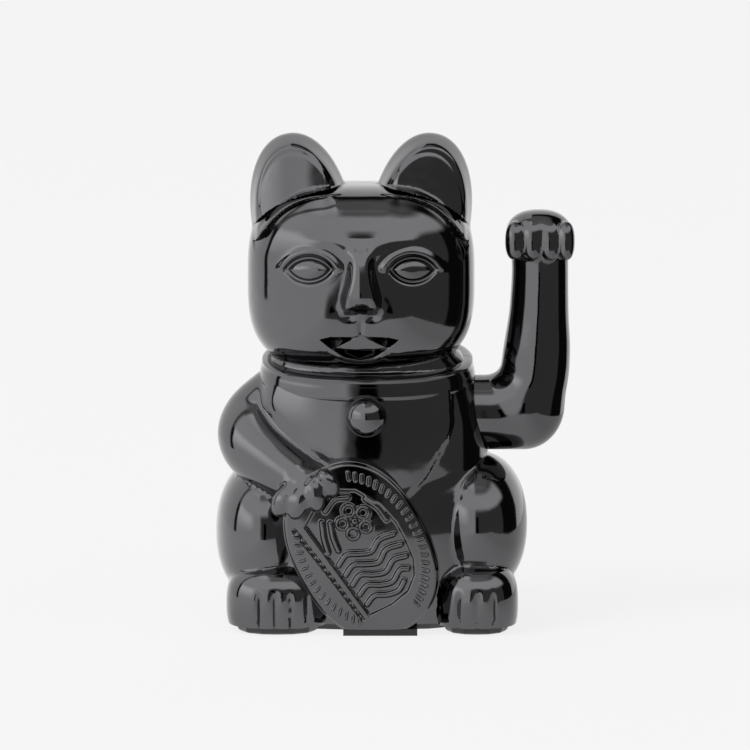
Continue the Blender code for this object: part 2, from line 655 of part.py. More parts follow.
def make_lever(plastic, steel, dull_steel):
    """The pendulum: hub and peg, bar, paddle, magnet and counterweight, all on the arm's axis."""
    lever = rod("pendulum_lever", on_axis(HUB_START), on_axis(HUB_END), HUB_RADIUS, PARTS)
    pieces = new_collection("lever_pieces", HELPERS)
    peg_low = on_axis(HUB_END - 2 * MM) - Vector((0, PEG_HALF, PEG_HALF))
    peg_high = AXIS + Vector((PEG_LENGTH, PEG_HALF, PEG_HALF))
    block("lever_peg", peg_low, peg_high, pieces)
    paddle_z = AXIS.z - MAGNET_DROP + MAGNET_THICK / 2 + TOUCH_GAP
    bar_x, bar_y = LEVER_BAR_HALF
    block(
        "lever_bar",
        (LEVER_X - bar_x, AXIS.y - bar_y, paddle_z + PADDLE_THICK / 2),
        (LEVER_X + bar_x, AXIS.y + bar_y, AXIS.z),
        pieces,
    )
    paddle_foot = Vector((LEVER_X, AXIS.y, paddle_z))
    rod("lever_paddle", paddle_foot, paddle_foot + Vector((0, 0, PADDLE_THICK)), MAGNET_RADIUS, pieces)
    weight_z = paddle_z + PADDLE_THICK + WEIGHT_GAP + WEIGHT_HALF.z
    weight_centre = Vector((LEVER_X, AXIS.y + bar_y + TOUCH_GAP + WEIGHT_HALF.y, weight_z))
    peg_end = weight_centre + Vector((0, WEIGHT_HALF.y, 0))
    rod("weight_peg", (LEVER_X, AXIS.y, weight_centre.z), peg_end, WEIGHT_PEG_RADIUS, pieces, sides=12)
    boolean(lever, "UNION", pieces)
    bore_radius = around(PIN_RADIUS + TURN_GAP, 16)
    bore_end = on_axis(HUB_START + PIN_DEPTH + TOUCH_GAP)
    bore = rod("lever_bore", on_axis(HUB_START - MM), bore_end, bore_radius, HELPERS, sides=16)
    boolean(lever, "DIFFERENCE", bore)
    set_origin(lever, on_axis(LEVER_X))
    paint(lever, plastic)

    magnet_high = Vector((LEVER_X, AXIS.y, paddle_z - TOUCH_GAP))
    magnet_low = magnet_high - Vector((0, 0, MAGNET_THICK))
    magnet = rod("magnet", magnet_low, magnet_high, MAGNET_RADIUS, PARTS, sides=24)
    set_origin(magnet, on_axis(LEVER_X))
    paint(magnet, steel)

    weight = block("counterweight", weight_centre - WEIGHT_HALF, weight_centre + WEIGHT_HALF, PARTS)
    hole_start = weight_centre - Vector((0, WEIGHT_HALF.y * 2, 0))
    hole_end = weight_centre + Vector((0, WEIGHT_HALF.y * 2, 0))
    hole_radius = around(WEIGHT_PEG_RADIUS + PEG_GAP, 12)
    boolean(weight, "DIFFERENCE", rod("weight_hole", hole_start, hole_end, hole_radius, HELPERS, sides=12))
    set_origin(weight, on_axis(LEVER_X))
    paint(weight, dull_steel)


def make_bracket(plastic, steel):
    """The frame that carries the pendulum: pin in the inner post, hub in the outer post's bearing."""
    inner_high = HUB_START - POST_FACE
    inner_low = inner_high - POST_THICK
    outer_low = BEARING_X - POST_THICK / 2
    outer_high = BEARING_X + POST_THICK / 2
    plate_low_y = bracket_back_y()
    plate_high_y = plate_low_y + BRACKET_PLATE
    bracket = block(
        "pivot_bracket",
        (inner_low, plate_low_y, AXIS.z - BRACKET_PLATE_HALF_Z),
        (outer_high, plate_high_y, AXIS.z + BRACKET_PLATE_HALF_Z),
        PARTS,
    )
    pieces = new_collection("bracket_pieces", HELPERS)
    ring_radius = HUB_RADIUS + BEARING_WALL
    pin_ring = PIN_RADIUS + BEARING_WALL
    for name, low_x, high_x, half_z in (
        ("inner_post", inner_low, inner_high, pin_ring),
        ("outer_post", outer_low, outer_high, ring_radius),
    ):
        high = (high_x, plate_low_y + BRACKET_PLATE / 2, AXIS.z + half_z)
        block(name, (low_x, AXIS.y, AXIS.z - half_z), high, pieces)
        rod(name + "_ring", (low_x, AXIS.y, AXIS.z), (high_x, AXIS.y, AXIS.z), half_z, pieces, sides=24)
    boolean(bracket, "UNION", pieces)
    holes = new_collection("bracket_holes", HELPERS)
    bearing = around(HUB_RADIUS + TURN_GAP, 24)
    rod("bearing_hole", on_axis(outer_low - MM), on_axis(outer_high + MM), bearing, holes, 24)
    pin_hole = around(PIN_RADIUS + TURN_GAP, 16)
    rod("pin_hole", on_axis(inner_low - MM), on_axis(inner_high + MM), pin_hole, holes, 16)
    screw_hole = around(SCREW_RADIUS + TURN_GAP, 12)
    for place in bracket_screw_places():
        rod("bracket_screw_hole", place - mm(0, 1, 0), place + mm(0, 8, 0), screw_hole, holes, sides=12)
    boolean(bracket, "DIFFERENCE", holes)
    paint(bracket, plastic)

    pin = rod("pivot_pin", on_axis(inner_low), on_axis(HUB_START + PIN_DEPTH), PIN_RADIUS, PARTS, sides=16)
    paint(pin, steel)
    for name, place in zip(("bracket_screw_upper", "bracket_screw_lower"), bracket_screw_places()):
        paint(screw(name, place - Vector((0, TOUCH_GAP, 0)), (math.radians(-90), 0, 0)), steel)


def screw(name, under_head, turn):
    """A pan-head screw: its shank runs along the object's +Z from under the head."""
    head = SCREW_HEAD_RADIUS
    thick = SCREW_HEAD_THICK
    profile = [
        (0, SCREW_LENGTH),
        (SCREW_RADIUS * 0.5, SCREW_LENGTH),
        (SCREW_RADIUS, SCREW_LENGTH - SCREW_RADIUS),
        (SCREW_RADIUS, 0),
        (head, 0),
        (head, -thick * 0.6),
        (head * 0.7, -thick),
        (0, -thick),
    ]
    return turned(name, profile, under_head, PARTS, turn, steps=12)


def make_base(satin, steel):
    """The flat base plate with its screw pads, battery end walls and board posts, and its door."""
    forms = new_collection("base_forms", HELPERS)
    for lump in HOLLOW_FORMS:
        if lump.centre.z - lump.half.z < 0:
            lump_object(lump, forms, BASE_INSET)
    toe_y = TABLET_CENTRE.y - TABLET_HALF.y * TOE_DEPTH_SHARE
    toe_low = (TABLET_CENTRE.x - TABLET_HALF.x * TOE_LEFT_SHARE, toe_y, 0)
    toe_high = (TABLET_CENTRE.x + TABLET_HALF.x * TOE_RIGHT_SHARE, 0, 2 * BASE_THICK)
    block("tablet_toe", toe_low, toe_high, forms)
    outline = join_all("base_outline", forms)
    plate_low = (-SHELL_REACH, -SHELL_REACH, 0)
    plate = block("base_plate", plate_low, (SHELL_REACH, SHELL_REACH, BASE_THICK), PARTS)
    boolean(plate, "INTERSECT", outline, "MANIFOLD")
    risers = new_collection("base_risers", HELPERS)
    sunk = BASE_THICK * 0.6
    for spot, (place, _outward) in SCREW_SPOTS.items():
        low = Vector((*place, sunk))
        high = Vector((*place, BASE_THICK + PAD_THICK))
        rod("pad_" + spot, low, high, BOSS_RADIUS - TOUCH_GAP, risers, sides=16)
    end_walls = {
        "end_wall_plus": PLATE_X - TOUCH_GAP - END_WALL_THICK,
        "end_wall_minus": SPRING_END_X + TOUCH_GAP,
    }
    for name, low_x in end_walls.items():
        block(
            name,
            (low_x, CELL_Y - END_WALL_HALF, sunk),
            (low_x + END_WALL_THICK, CELL_Y + END_WALL_HALF, END_WALL_HEIGHT),
            risers,
        )
    for side in (-1, 1):
        place = BOARD_CENTRE + Vector((side * (BOARD_HALF.x - 3 * MM), 0))
        post_top = (*place, BASE_THICK + BOARD_LIFT - TOUCH_GAP)
        rod("board_post", (*place, sunk), post_top, BOARD_POST_RADIUS, risers, sides=12)
    boolean(plate, "UNION", risers, "MANIFOLD")
    holes = new_collection("base_holes", HELPERS)
    head_room = TOUCH_GAP + SCREW_HEAD_THICK
    for spot, (place, _outward) in SCREW_SPOTS.items():
        counterbore = around(SCREW_HEAD_RADIUS + TOUCH_GAP, 16)
        bore_top = (*place, head_room + TOUCH_GAP)
        rod("counterbore_" + spot, (*place, -MM), bore_top, counterbore, holes, sides=16)
        through = around(SCREW_RADIUS + TOUCH_GAP, 12)
        rod("through_" + spot, (*place, 0), (*place, SCREW_LENGTH), through, holes, sides=12)
    door_gap = Vector((TOUCH_GAP, TOUCH_GAP))
    block("door_hole", (*DOOR_LOW, -MM), (*DOOR_HIGH, SHELL_FOOT_Z + MM), holes)
    slot_half = KNOB_HALF + Vector((KNOB_TRAVEL / 2, 0)) + door_gap
    slot_low = (*(SWITCH_CENTRE - slot_half), -MM)
    block("knob_slot", slot_low, (*(SWITCH_CENTRE + slot_half), SHELL_FOOT_Z), holes)
    boolean(plate, "DIFFERENCE", holes, "MANIFOLD")
    paint(plate, satin)

    for spot, (place, _outward) in SCREW_SPOTS.items():
        paint(screw("base_screw_" + spot, (*place, head_room), (0, 0, 0)), steel)
    door = block("battery_door", (*(DOOR_LOW + door_gap), 0), (*(DOOR_HIGH - door_gap), BASE_THICK), PARTS)
    bevel = door.modifiers.new("soft_edges", "BEVEL")
    bevel.width = 0.4 * MM
    bevel.segments = 1
    set_origin(door, (CELL_X, CELL_Y, 0))
    paint(door, satin)


def make_switch(black, white):
    centre = Vector((*SWITCH_CENTRE, SHELL_FOOT_Z))
    low = centre - Vector((*SWITCH_HALF, 0))
    high = centre + Vector((*SWITCH_HALF, SWITCH_HEIGHT))
    body = block("switch_body", low, high, PARTS)
    slot_half = KNOB_HALF + Vector((KNOB_TRAVEL / 2 + TOUCH_GAP, TOUCH_GAP))
    slot_low = centre - Vector((*slot_half, MM))
    slot_high = centre + Vector((*slot_half, SWITCH_SLOT_DEPTH))
    boolean(body, "DIFFERENCE", block("switch_slot", slot_low, slot_high, HELPERS))
    paint(body, black)
    rest = SWITCH_CENTRE - Vector((KNOB_TRAVEL / 2, 0))
    knob_top = SHELL_FOOT_Z + SWITCH_SLOT_DEPTH - TOUCH_GAP
    knob = block("switch_knob", (*(rest - KNOB_HALF), KNOB_FOOT_Z), (*(rest + KNOB_HALF), knob_top), PARTS)
    paint(knob, white)


def make_coil(plastic, copper):
    """A spool with flanges, and its winding between them."""
    flange, core, thick = COIL_FLANGE_RADIUS, COIL_CORE_RADIUS, COIL_FLANGE_THICK
    spool = [
        (0, COIL_HEIGHT),
        (flange, COIL_HEIGHT),
        (flange, COIL_HEIGHT - thick),
        (core, COIL_HEIGHT - thick),
        (core, thick),
        (flange, thick),
        (flange, 0),
        (0, 0),
    ]
    paint(turned("coil_bobbin", spool, COIL_SPOT, PARTS), plastic)
    inner = core + TOUCH_GAP
    low, high = thick + TOUCH_GAP, COIL_HEIGHT - thick - TOUCH_GAP
    winding = [(inner, high), (COIL_RADIUS, high), (COIL_RADIUS, low), (inner, low)]
    paint(turned("coil_winding", winding, COIL_SPOT, PARTS), copper)


def make_board(green, black):
    low_z = BASE_THICK + BOARD_LIFT
    low = Vector((*(BOARD_CENTRE - BOARD_HALF), low_z))
    high = Vector((*(BOARD_CENTRE + BOARD_HALF), BOARD_TOP_Z))
    paint(block("circuit_board", low, high, PARTS), green)
    lift = BOARD_TOP_Z + TOUCH_GAP
    chip_place = BOARD_CENTRE + mm(-5, 2)
    chip_foot = Vector((*chip_place, lift))
    chip_low = chip_foot - Vector((TRANSISTOR_HALF.x, TRANSISTOR_HALF.y, 0))
    chip_high = chip_foot + Vector((TRANSISTOR_HALF.x, TRANSISTOR_HALF.y, TRANSISTOR_HALF.z * 2))
    paint(block("transistor", chip_low, chip_high, PARTS), black)
    can_foot = Vector((*(BOARD_CENTRE + mm(4, -2)), lift))
    can_top = can_foot + Vector((0, 0, CAPACITOR_HEIGHT))
    can = rod("capacitor", can_foot, can_top, CAPACITOR_RADIUS, PARTS, sides=16)
    paint(can, black)


def make_cell(wrap, steel):
    """The cell lies along X with its nub towards -X, between a flat contact and a spring."""
    profile = [
        (0, CELL_LENGTH / 2 + CELL_NUB_LENGTH),
        (CELL_NUB_RADIUS, CELL_LENGTH / 2 + CELL_NUB_LENGTH),
        (CELL_NUB_RADIUS, CELL_LENGTH / 2),
        (CELL_RADIUS - 0.5 * MM, CELL_LENGTH / 2),
        (CELL_RADIUS, CELL_LENGTH / 2 - 0.5 * MM),
        (CELL_RADIUS, -CELL_LENGTH / 2 + 0.5 * MM),
        (CELL_RADIUS - 0.5 * MM, -CELL_LENGTH / 2),
        (0, -CELL_LENGTH / 2),
    ]
    cell_place = Vector((CELL_X, CELL_Y, CELL_Z))
    paint(turned("battery_cell", profile, cell_place, PARTS, (0, math.radians(-90), 0)), wrap)
    plate_low = Vector((PLATE_X, CELL_Y - CONTACT_HALF.x, CELL_Z - CONTACT_HALF.y))
    plate_high = Vector((PLATE_X + CONTACT_THICK, CELL_Y + CONTACT_HALF.x, CELL_Z + CONTACT_HALF.y))
    paint(block("contact_plate", plate_low, plate_high, PARTS), steel)
    points_per_turn = 9
    steps = SPRING_TURNS * points_per_turn
    points = []
    for step in range(steps + 1):
        angle = 2 * math.pi * step / points_per_turn
        share = step / steps
        radius = 1.6 * MM + (CONTACT_HALF.x - 1.6 * MM) * share
        x = CELL_HIGH_X + TOUCH_GAP + SPRING_WIRE + share * (SPRING_LENGTH - 2 * SPRING_WIRE)
        points.append(Vector((x, CELL_Y + radius * math.cos(angle), CELL_Z + radius * math.sin(angle))))
    spring = tube_curve("contact_spring", points, [SPRING_WIRE] * len(points), 2, PARTS)
    paint(spring, steel)


def make_wires(red, black, copper):
    """Leads from the two contacts and the coil to the board."""
    board_left = BOARD_CENTRE.x - BOARD_HALF.x
    board_right = BOARD_CENTRE.x + BOARD_HALF.x
    lead_z = BOARD_TOP_Z + TOUCH_GAP + WIRE_RADIUS
    routes = {
        "wire_battery_red": (
            Vector((PLATE_X + CONTACT_THICK, CELL_Y - CONTACT_HALF.x - 2 * WIRE_RADIUS, CELL_Z + 1 * MM)),
            Vector((board_left - 10 * MM, 2.0 * MM, CELL_Z)),
            Vector((board_left - 3 * MM, -3 * MM, lead_z + 1 * MM)),
            Vector((board_left + 3 * MM, -4 * MM, lead_z)),
        ),
        "wire_battery_black": (
            Vector((SPRING_END_X - 1 * MM, CELL_Y - CONTACT_HALF.x - 3 * WIRE_RADIUS, CELL_Z - 1 * MM)),
            Vector((LEVER_X + 6 * MM, 5.7 * MM, 4.4 * MM)),
            Vector((LEVER_X - 3 * MM, 5.7 * MM, 4.2 * MM)),
            Vector((board_right + 0.5 * MM, 2.5 * MM, lead_z)),
            Vector((board_right - 4 * MM, -3 * MM, lead_z)),
        ),
        "wire_coil": (
            Vector((LEVER_X - COIL_FLANGE_RADIUS - 1.2 * MM, AXIS.y - 3 * MM, COIL_HEIGHT * 0.75)),
            Vector((board_right - 1 * MM, AXIS.y - 4 * MM, lead_z + 1 * MM)),
            Vector((board_right - 3 * MM, AXIS.y - 5 * MM, lead_z)),
        ),
    }
    for (name, route), made in zip(routes.items(), (red, black, copper)):
        points = smooth_route(list(route), 4)
        paint(tube_curve(name, points, [WIRE_RADIUS] * len(points), 2, PARTS), made)


remove_start_objects()
PARTS = new_collection("beckoning_cat")
HELPERS = new_collection("cutters")


def main():
    gloss = material("black_chrome_plastic", (0.13, 0.13, 0.135), 0.06, 1.0)
    satin = material("black_satin_plastic", (0.02, 0.02, 0.022), 0.45)
    nylon = material("natural_nylon", (0.82, 0.8, 0.74), 0.5)
    steel = material("zinc_steel", (0.62, 0.62, 0.6), 0.3, 1.0)
    dull_steel = material("raw_steel", (0.32, 0.31, 0.3), 0.5, 1.0)
    copper = material("enamelled_copper", (0.72, 0.3, 0.14), 0.3, 1.0)
    green = material("board_green", (0.03, 0.2, 0.08), 0.4)
    black = material("component_black", (0.02, 0.02, 0.02), 0.4)
    white = material("switch_white", (0.8, 0.8, 0.78), 0.4)
    wrap = material("cell_wrap", (0.08, 0.2, 0.5), 0.3)
    red = material("wire_red", (0.6, 0.03, 0.03), 0.4)
    make_shells(gloss)
    make_arm(gloss)
    make_lever(nylon, steel, dull_steel)
    make_bracket(nylon, steel)
    make_base(satin, steel)
    make_switch(black, white)
    make_coil(nylon, copper)
    make_board(green, black)
    make_cell(wrap, steel)
    make_wires(red, black, copper)


main()
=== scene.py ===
# %% [markdown]
# # A beckoning cat in black chrome
# The cat is a desk figurine: two thin plastic shells, metallised to a dark mirror, stand on a flat
# base plate, and a hollow arm swings on a pendulum inside. The frame below is the working assembly.
# This lesson keeps its mechanism and base, and remakes the shells, the arm, the tablet, the collar and
# the bell finely enough for a mirror finish, where every unevenness shows.

# %% Load the frame
import json
import math
from collections import namedtuple

import bpy
import numpy as np
from mathutils import Euler, Matrix, Vector


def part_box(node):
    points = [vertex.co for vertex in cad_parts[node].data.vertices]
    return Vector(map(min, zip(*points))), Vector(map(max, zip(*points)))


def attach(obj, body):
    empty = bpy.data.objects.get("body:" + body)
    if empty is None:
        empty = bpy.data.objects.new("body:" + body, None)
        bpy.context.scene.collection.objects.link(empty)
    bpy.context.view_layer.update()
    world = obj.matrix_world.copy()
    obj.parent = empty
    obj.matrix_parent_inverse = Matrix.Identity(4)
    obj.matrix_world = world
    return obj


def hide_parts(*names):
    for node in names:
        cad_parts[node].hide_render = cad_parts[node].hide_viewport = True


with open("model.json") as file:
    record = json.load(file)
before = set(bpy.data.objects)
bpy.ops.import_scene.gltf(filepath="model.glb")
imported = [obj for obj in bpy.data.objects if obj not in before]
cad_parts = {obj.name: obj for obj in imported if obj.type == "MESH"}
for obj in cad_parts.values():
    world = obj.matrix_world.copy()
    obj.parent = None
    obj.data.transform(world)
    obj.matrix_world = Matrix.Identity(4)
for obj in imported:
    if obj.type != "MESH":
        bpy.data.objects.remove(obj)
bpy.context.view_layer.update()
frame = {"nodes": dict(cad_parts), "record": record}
MM = 0.001

# %% [markdown]
# ## Tools for moving points
# A mirror finish needs forms that flow. Each form starts as a sphere drawn out into a rounded lump, or
# as a row of balls along a limb. The forms are joined and remeshed into one skin, and the skin's points
# then slide onto one smooth blend of them, the way a finger smooths clay. Everything counts in
# millimetres.

# %% Read and write the points of a mesh
def points_of(piece):
    flat = np.empty(len(piece.data.vertices) * 3)
    piece.data.vertices.foreach_get("co", flat)
    return flat.reshape(-1, 3) / MM


def set_points(piece, points):
    piece.data.vertices.foreach_set("co", np.ascontiguousarray(points * MM).ravel())
    piece.data.update()


def deselect_all():
    if bpy.context.object and bpy.context.object.mode != "OBJECT":
        bpy.ops.object.mode_set(mode="OBJECT")
    bpy.ops.object.select_all(action="DESELECT")


def pick(pieces):
    deselect_all()
    for piece in pieces:
        piece.select_set(True)
    bpy.context.view_layer.objects.active = pieces[-1]
    return pieces[-1]


def join(pieces, name):
    piece = pick(pieces)
    if len(pieces) > 1:
        bpy.ops.object.join()
    piece.name = name
    piece.data.name = name
    return piece


def triangles(piece):
    return sum(len(face.vertices) - 2 for face in piece.data.polygons)


# %% A rounded lump, as a measure and as a mesh
Lump = namedtuple("Lump", "centre half round_xy round_z turn soft", defaults=(2.0, 2.0, (0, 0, 0), 1.2))


def turn_of(lump):
    return np.array(Euler([math.radians(angle) for angle in lump.turn]).to_matrix())


def lump_size(share, lump):
    """How many times its own size a lump must grow to reach each point, and the slope of that."""
    x, y, z = np.abs(share).T + 1e-9
    across = x**lump.round_xy + y**lump.round_xy
    level = across ** (lump.round_z / lump.round_xy) + z**lump.round_z
    ring = across ** (lump.round_z / lump.round_xy - 1)
    slope_x = ring * x ** (lump.round_xy - 1)
    slope_y = ring * y ** (lump.round_xy - 1)
    slope = np.stack([slope_x, slope_y, z ** (lump.round_z - 1)], 1)
    return level ** (1 / lump.round_z), np.sign(share) * slope * (level ** (1 / lump.round_z - 1))[:, None]


def lump_gap(points, lump, inset=0.0):
    """How far outside a lump each point is, and which way leads out."""
    turn = turn_of(lump)
    half = np.array(lump.half) - inset
    size, slope = lump_size(((points - lump.centre) @ turn) / half, lump)
    slope = slope / half
    steep = np.linalg.norm(slope, axis=1)
    return (size - 1) / steep, (slope / steep[:, None]) @ turn.T


def add_lump(lump, inset=0.0, sides=48):
    bpy.ops.mesh.primitive_uv_sphere_add(segments=sides, ring_count=sides // 2, radius=MM)
    piece = bpy.context.object
    points = points_of(piece)
    size, _slope = lump_size(points, lump)
    points = points / size[:, None] * (np.array(lump.half) - inset)
    set_points(piece, points @ turn_of(lump).T + lump.centre)
    return piece


# %% A limb of changing thickness, as a measure and as a mesh
Limb = namedtuple("Limb", "route radii soft")


def smooth_route(values, steps):
    """Values along a smooth curve through the given ones (Catmull-Rom)."""
    values = np.array(values, float)
    padded = np.vstack([2 * values[0] - values[1], values, 2 * values[-1] - values[-2]])
    made = []
    for before, start, end, after in zip(padded, padded[1:], padded[2:], padded[3:]):
        for t in np.arange(steps) / steps:
            bend = 2 * before - 5 * start + 4 * end - after
            twist = 3 * start - before - 3 * end + after
            made.append(0.5 * (2 * start + (end - before) * t + bend * t**2 + twist * t**3))
    return np.array([*made, values[-1]])


def limb_balls(limb, steps=16):
    rows = smooth_route([(*point, radius) for point, radius in zip(limb.route, limb.radii)], steps)
    return rows[:, :3], rows[:, 3]


def limb_gap(points, limb, inset=0.0):
    """How far outside the limb each point is, and which way leads out."""
    centres, radii = limb_balls(limb)
    gap = np.full(len(points), np.inf)
    way = np.zeros_like(points)
    for start, end, thin, thick in zip(centres, centres[1:], radii, radii[1:]):
        along = end - start
        share = np.clip((points - start) @ along / (along @ along), 0, 1)
        out = points - start - share[:, None] * along
        far = np.linalg.norm(out, axis=1)
        found = far - (thin + share * (thick - thin)) + inset
        nearer = found < gap
        gap[nearer] = found[nearer]
        way[nearer] = out[nearer] / np.maximum(far[nearer], 1e-6)[:, None]
    return gap, way


def add_limb(limb, inset=0.0):
    centres, radii = limb_balls(limb, 5)
    balls = []
    for centre, radius in zip(centres, radii):
        place = [value * MM for value in centre]
        size = (radius - inset) * MM
        bpy.ops.mesh.primitive_uv_sphere_add(segments=24, ring_count=12, radius=size, location=place)
        bpy.ops.object.transform_apply(location=True, rotation=False, scale=False)
        balls.append(bpy.context.object)
    return join(balls, "limb")


# %% One skin over many forms
def forms_gap(points, forms, inset=0.0):
    """The gap to the soft union of forms. Each form's own softness sets the fillet where it joins."""
    gap, way = None, None
    for form in forms:
        measure = lump_gap if isinstance(form, Lump) else limb_gap
        new_gap, new_way = measure(points, form, inset)
        if gap is None:
            gap, way = new_gap, new_way
            continue
        mix = np.clip(0.5 + 0.5 * (new_gap - gap) / form.soft, 0, 1)
        gap = new_gap + (gap - new_gap) * mix - form.soft * mix * (1 - mix)
        way = new_way + (way - new_way) * mix[:, None]
    return gap, way


def settle(piece, forms, inset=0.0, rounds=6, longest=0.8):
    """Slides a skin's points onto the forms' blend and returns the way out at each."""
    points = points_of(piece)
    for _round in range(rounds):
        gap, way = forms_gap(points, forms, inset)
        steep = np.maximum((way**2).sum(1), 0.25)
        points -= way * np.clip(gap / steep, -longest, longest)[:, None]
    set_points(piece, points)
    return way / np.maximum(np.linalg.norm(way, axis=1), 1e-6)[:, None]


def skin(name, forms, voxel, inset=0.0):
    """Joins the forms' meshes and remeshes them into one closed skin."""
    deselect_all()
    parts = []
    for form in forms:
        parts.append(add_lump(form, inset) if isinstance(form, Lump) else add_limb(form, inset))
    piece = join(parts, name)
    piece.data.remesh_voxel_size = voxel * MM
    bpy.ops.object.voxel_remesh()
    return piece


# %% Cutting with a solid
def cut(piece, tool, operation="DIFFERENCE"):
    pick([piece])
    modifier = piece.modifiers.new("cut", "BOOLEAN")
    modifier.operation = operation
    modifier.solver = "MANIFOLD"
    modifier.object = tool
    bpy.ops.object.modifier_apply(modifier="cut")
    return piece


def add_box(low, high):
    deselect_all()
    centre = [(a + b) / 2 * MM for a, b in zip(low, high)]
    bpy.ops.mesh.primitive_cube_add(size=1, location=centre)
    piece = bpy.context.object
    piece.scale = [(b - a) * MM for a, b in zip(low, high)]
    bpy.ops.object.transform_apply()
    return piece


def add_rod(start, end, radius, sides=48):
    deselect_all()
    start, end = Vector(start), Vector(end)
    bpy.ops.mesh.primitive_cylinder_add(
        vertices=sides, radius=radius * MM, depth=(end - start).length * MM, location=(start + end) / 2 * MM
    )
    piece = bpy.context.object
    piece.rotation_euler = (end - start).to_track_quat("Z", "Y").to_euler()
    bpy.ops.object.transform_apply()
    return piece


def drop(*pieces):
    for piece in pieces:
        bpy.data.objects.remove(piece, do_unlink=True)


# %% Lines drawn on a surface
def rise(share):
    """0 below 0, 1 above 1, and a soft step between."""
    share = np.clip(share, 0, 1)
    return share * share * (3 - 2 * share)


def hump(distance, width):
    return np.exp(-((distance / width) ** 2))


def squared(angle, power):
    """How far a circle must be drawn out at each angle to become a rounded square."""
    return (np.abs(np.cos(angle)) ** power + np.abs(np.sin(angle)) ** power) ** (-1 / power)


def to_line(across, up, route, steps=6):
    """Distance from points in the flat to a smooth line, and how far along it they are."""
    line = smooth_route(route, steps)
    nearest = np.full(len(across), np.inf)
    along = np.zeros(len(across))
    for index, (start, end) in enumerate(zip(line, line[1:])):
        run = end - start
        share = np.clip(((across - start[0]) * run[0] + (up - start[1]) * run[1]) / (run @ run), 0, 1)
        far = np.hypot(across - start[0] - share * run[0], up - start[1] - share * run[1])
        closer = far < nearest
        nearest[closer] = far[closer]
        along[closer] = (index + share[closer]) / (len(line) - 1)
    return nearest, along


def inside_outline(across, up, outline):
    """Distance inside a closed straight-sided outline, negative outside it."""
    nearest = np.full(len(across), np.inf)
    within = np.zeros(len(across), bool)
    for (x0, z0), (x1, z1) in zip(outline, outline[1:] + outline[:1]):
        run_x, run_z = x1 - x0, z1 - z0
        share = np.clip(((across - x0) * run_x + (up - z0) * run_z) / (run_x**2 + run_z**2), 0, 1)
        nearest = np.minimum(nearest, np.hypot(across - x0 - share * run_x, up - z0 - share * run_z))
        crosses = (z0 > up) != (z1 > up)
        within ^= crosses & (across < x0 + (up - z0) * run_x / (run_z if run_z else 1e-9))
    return np.where(within, nearest, -nearest)


# %% [markdown]
# ## The body's forms
# Head, chest, hips, haunches, feet and the arm that holds the tablet are one moulding in two halves.
# The numbers repeat the frame's forms, so the new skin lies close to the frame's own shells. The holding
# forearm lies up to 3 mm higher than in the frame, and its paw lies 0.5 mm further back and has fingers.

# %% Name the forms
SEAM_Y = -4.0
SEAM_GAP = 0.2
FOOT_Z = 2.3
SHELL_WALL = 2.0
AXIS = np.array([31.0, SEAM_Y, 63.8])
HEAD = Lump((-3, -4, 105.5), (34.5, 28, 28.5), 2.5, 3.2)
CHEST = Lump((-1, -3, 52), (36.5, 26.5, 42), 2.5, 2.4)
HIPS = Lump((0, 1.5, 24), (41, 32, 34), 3.0, 3.0)
HAUNCHES = [
    Lump((-32.5, -5, 28), (14.8, 26, 21.5), 2.2, 2.2, soft=1.0),
    Lump((32.5, -5, 30), (15.1, 26, 21.5), 2.2, 2.2, soft=1.0),
]
FEET = [
    Lump((-28.2, -20, 8), (15.7, 16, 13), 2.5, 2.8, soft=0.9),
    Lump((31.9, -20, 8), (12.7, 16, 13), 2.5, 2.8, soft=0.9),
]
HOLD_ARM = Limb(
    [(-25, -3, 68), (-33.4, -6, 60.5), (-34, -13, 55.5), (-27.5, -21, 50), (-20, -27, 45.5)],
    [12, 12.3, 11.5, 9.6, 7.8],
    0.8,
)
HOLD_PAW = Lump((-18.5, -30.0, 43.5), (8.6, 6.5, 8.2), 2.3, 2.3)
HOLD_FINGERS = [
    Lump((-26.2, -33.6, 41.2), (3.4, 3.6, 5.4), turn=(0, 28, 0), soft=1.3),
    Lump((-21.6, -35.4, 41.0), (3.3, 3.6, 5.6), turn=(0, 20, 0), soft=1.3),
    Lump((-16.8, -36.0, 43.4), (3.3, 3.6, 5.4), turn=(0, -10, 0), soft=1.3),
    Lump((-12.8, -35.6, 47.0), (3.0, 3.4, 4.8), turn=(0, -30, 0), soft=1.3),
]
TAIL = Limb([(22, 27, 10), (12, 32, 12), (1, 33.5, 17), (-4, 32, 24)], [5.5, 5.5, 5.2, 3.6], 1.2)
EAR_SPREAD = 17.8
EAR_Z = 122.5
EAR_HALF = (15.3, 12.5, 27)
EAR_LEAN = 10
EARS = []
for side in (-1, 1):
    ear_centre = (HEAD.centre[0] + side * EAR_SPREAD, HEAD.centre[1], EAR_Z)
    EARS.append(Lump(ear_centre, EAR_HALF, 2.0, 2.1, (0, side * EAR_LEAN, 0), 0.8))
HOLLOW_FORMS = [HIPS, CHEST, *HAUNCHES, *FEET, HOLD_ARM, HEAD]
BODY_FORMS = [*HOLLOW_FORMS, HOLD_PAW, *HOLD_FINGERS, TAIL, *EARS]

# %% Skin the body
BODY_VOXEL = 0.8
body_skin = skin("body_skin", BODY_FORMS, BODY_VOXEL)
print("body skin before detail", triangles(body_skin))

# %% [markdown]
# ## Finer faces for the face
# The face and the ears' fronts carry the finest relief, so their faces are divided once more, and those
# of the eyes and mouth twice. The rest keeps the remesh's even spacing, which is enough for broad forms.

# %% Divide the face's faces
FACE_LOW = (-27.0, 80.0)
FACE_HIGH = (21.5, 121.0)
EAR_FOOT = 117.0
FACE_X = -3.05
EYE_SPREAD = 15.5
EYE_Z = 110.6
EYE_REACH = 6.3
EYE_RISE = 3.35
MOUTH_X = -3.4
MOUTH_Z = 86.8
MOUTH_HALF = (13.5, 5.5)
FACE_FRONT = -18
EAR_FRONT = -8
CROWN_HALF = 5


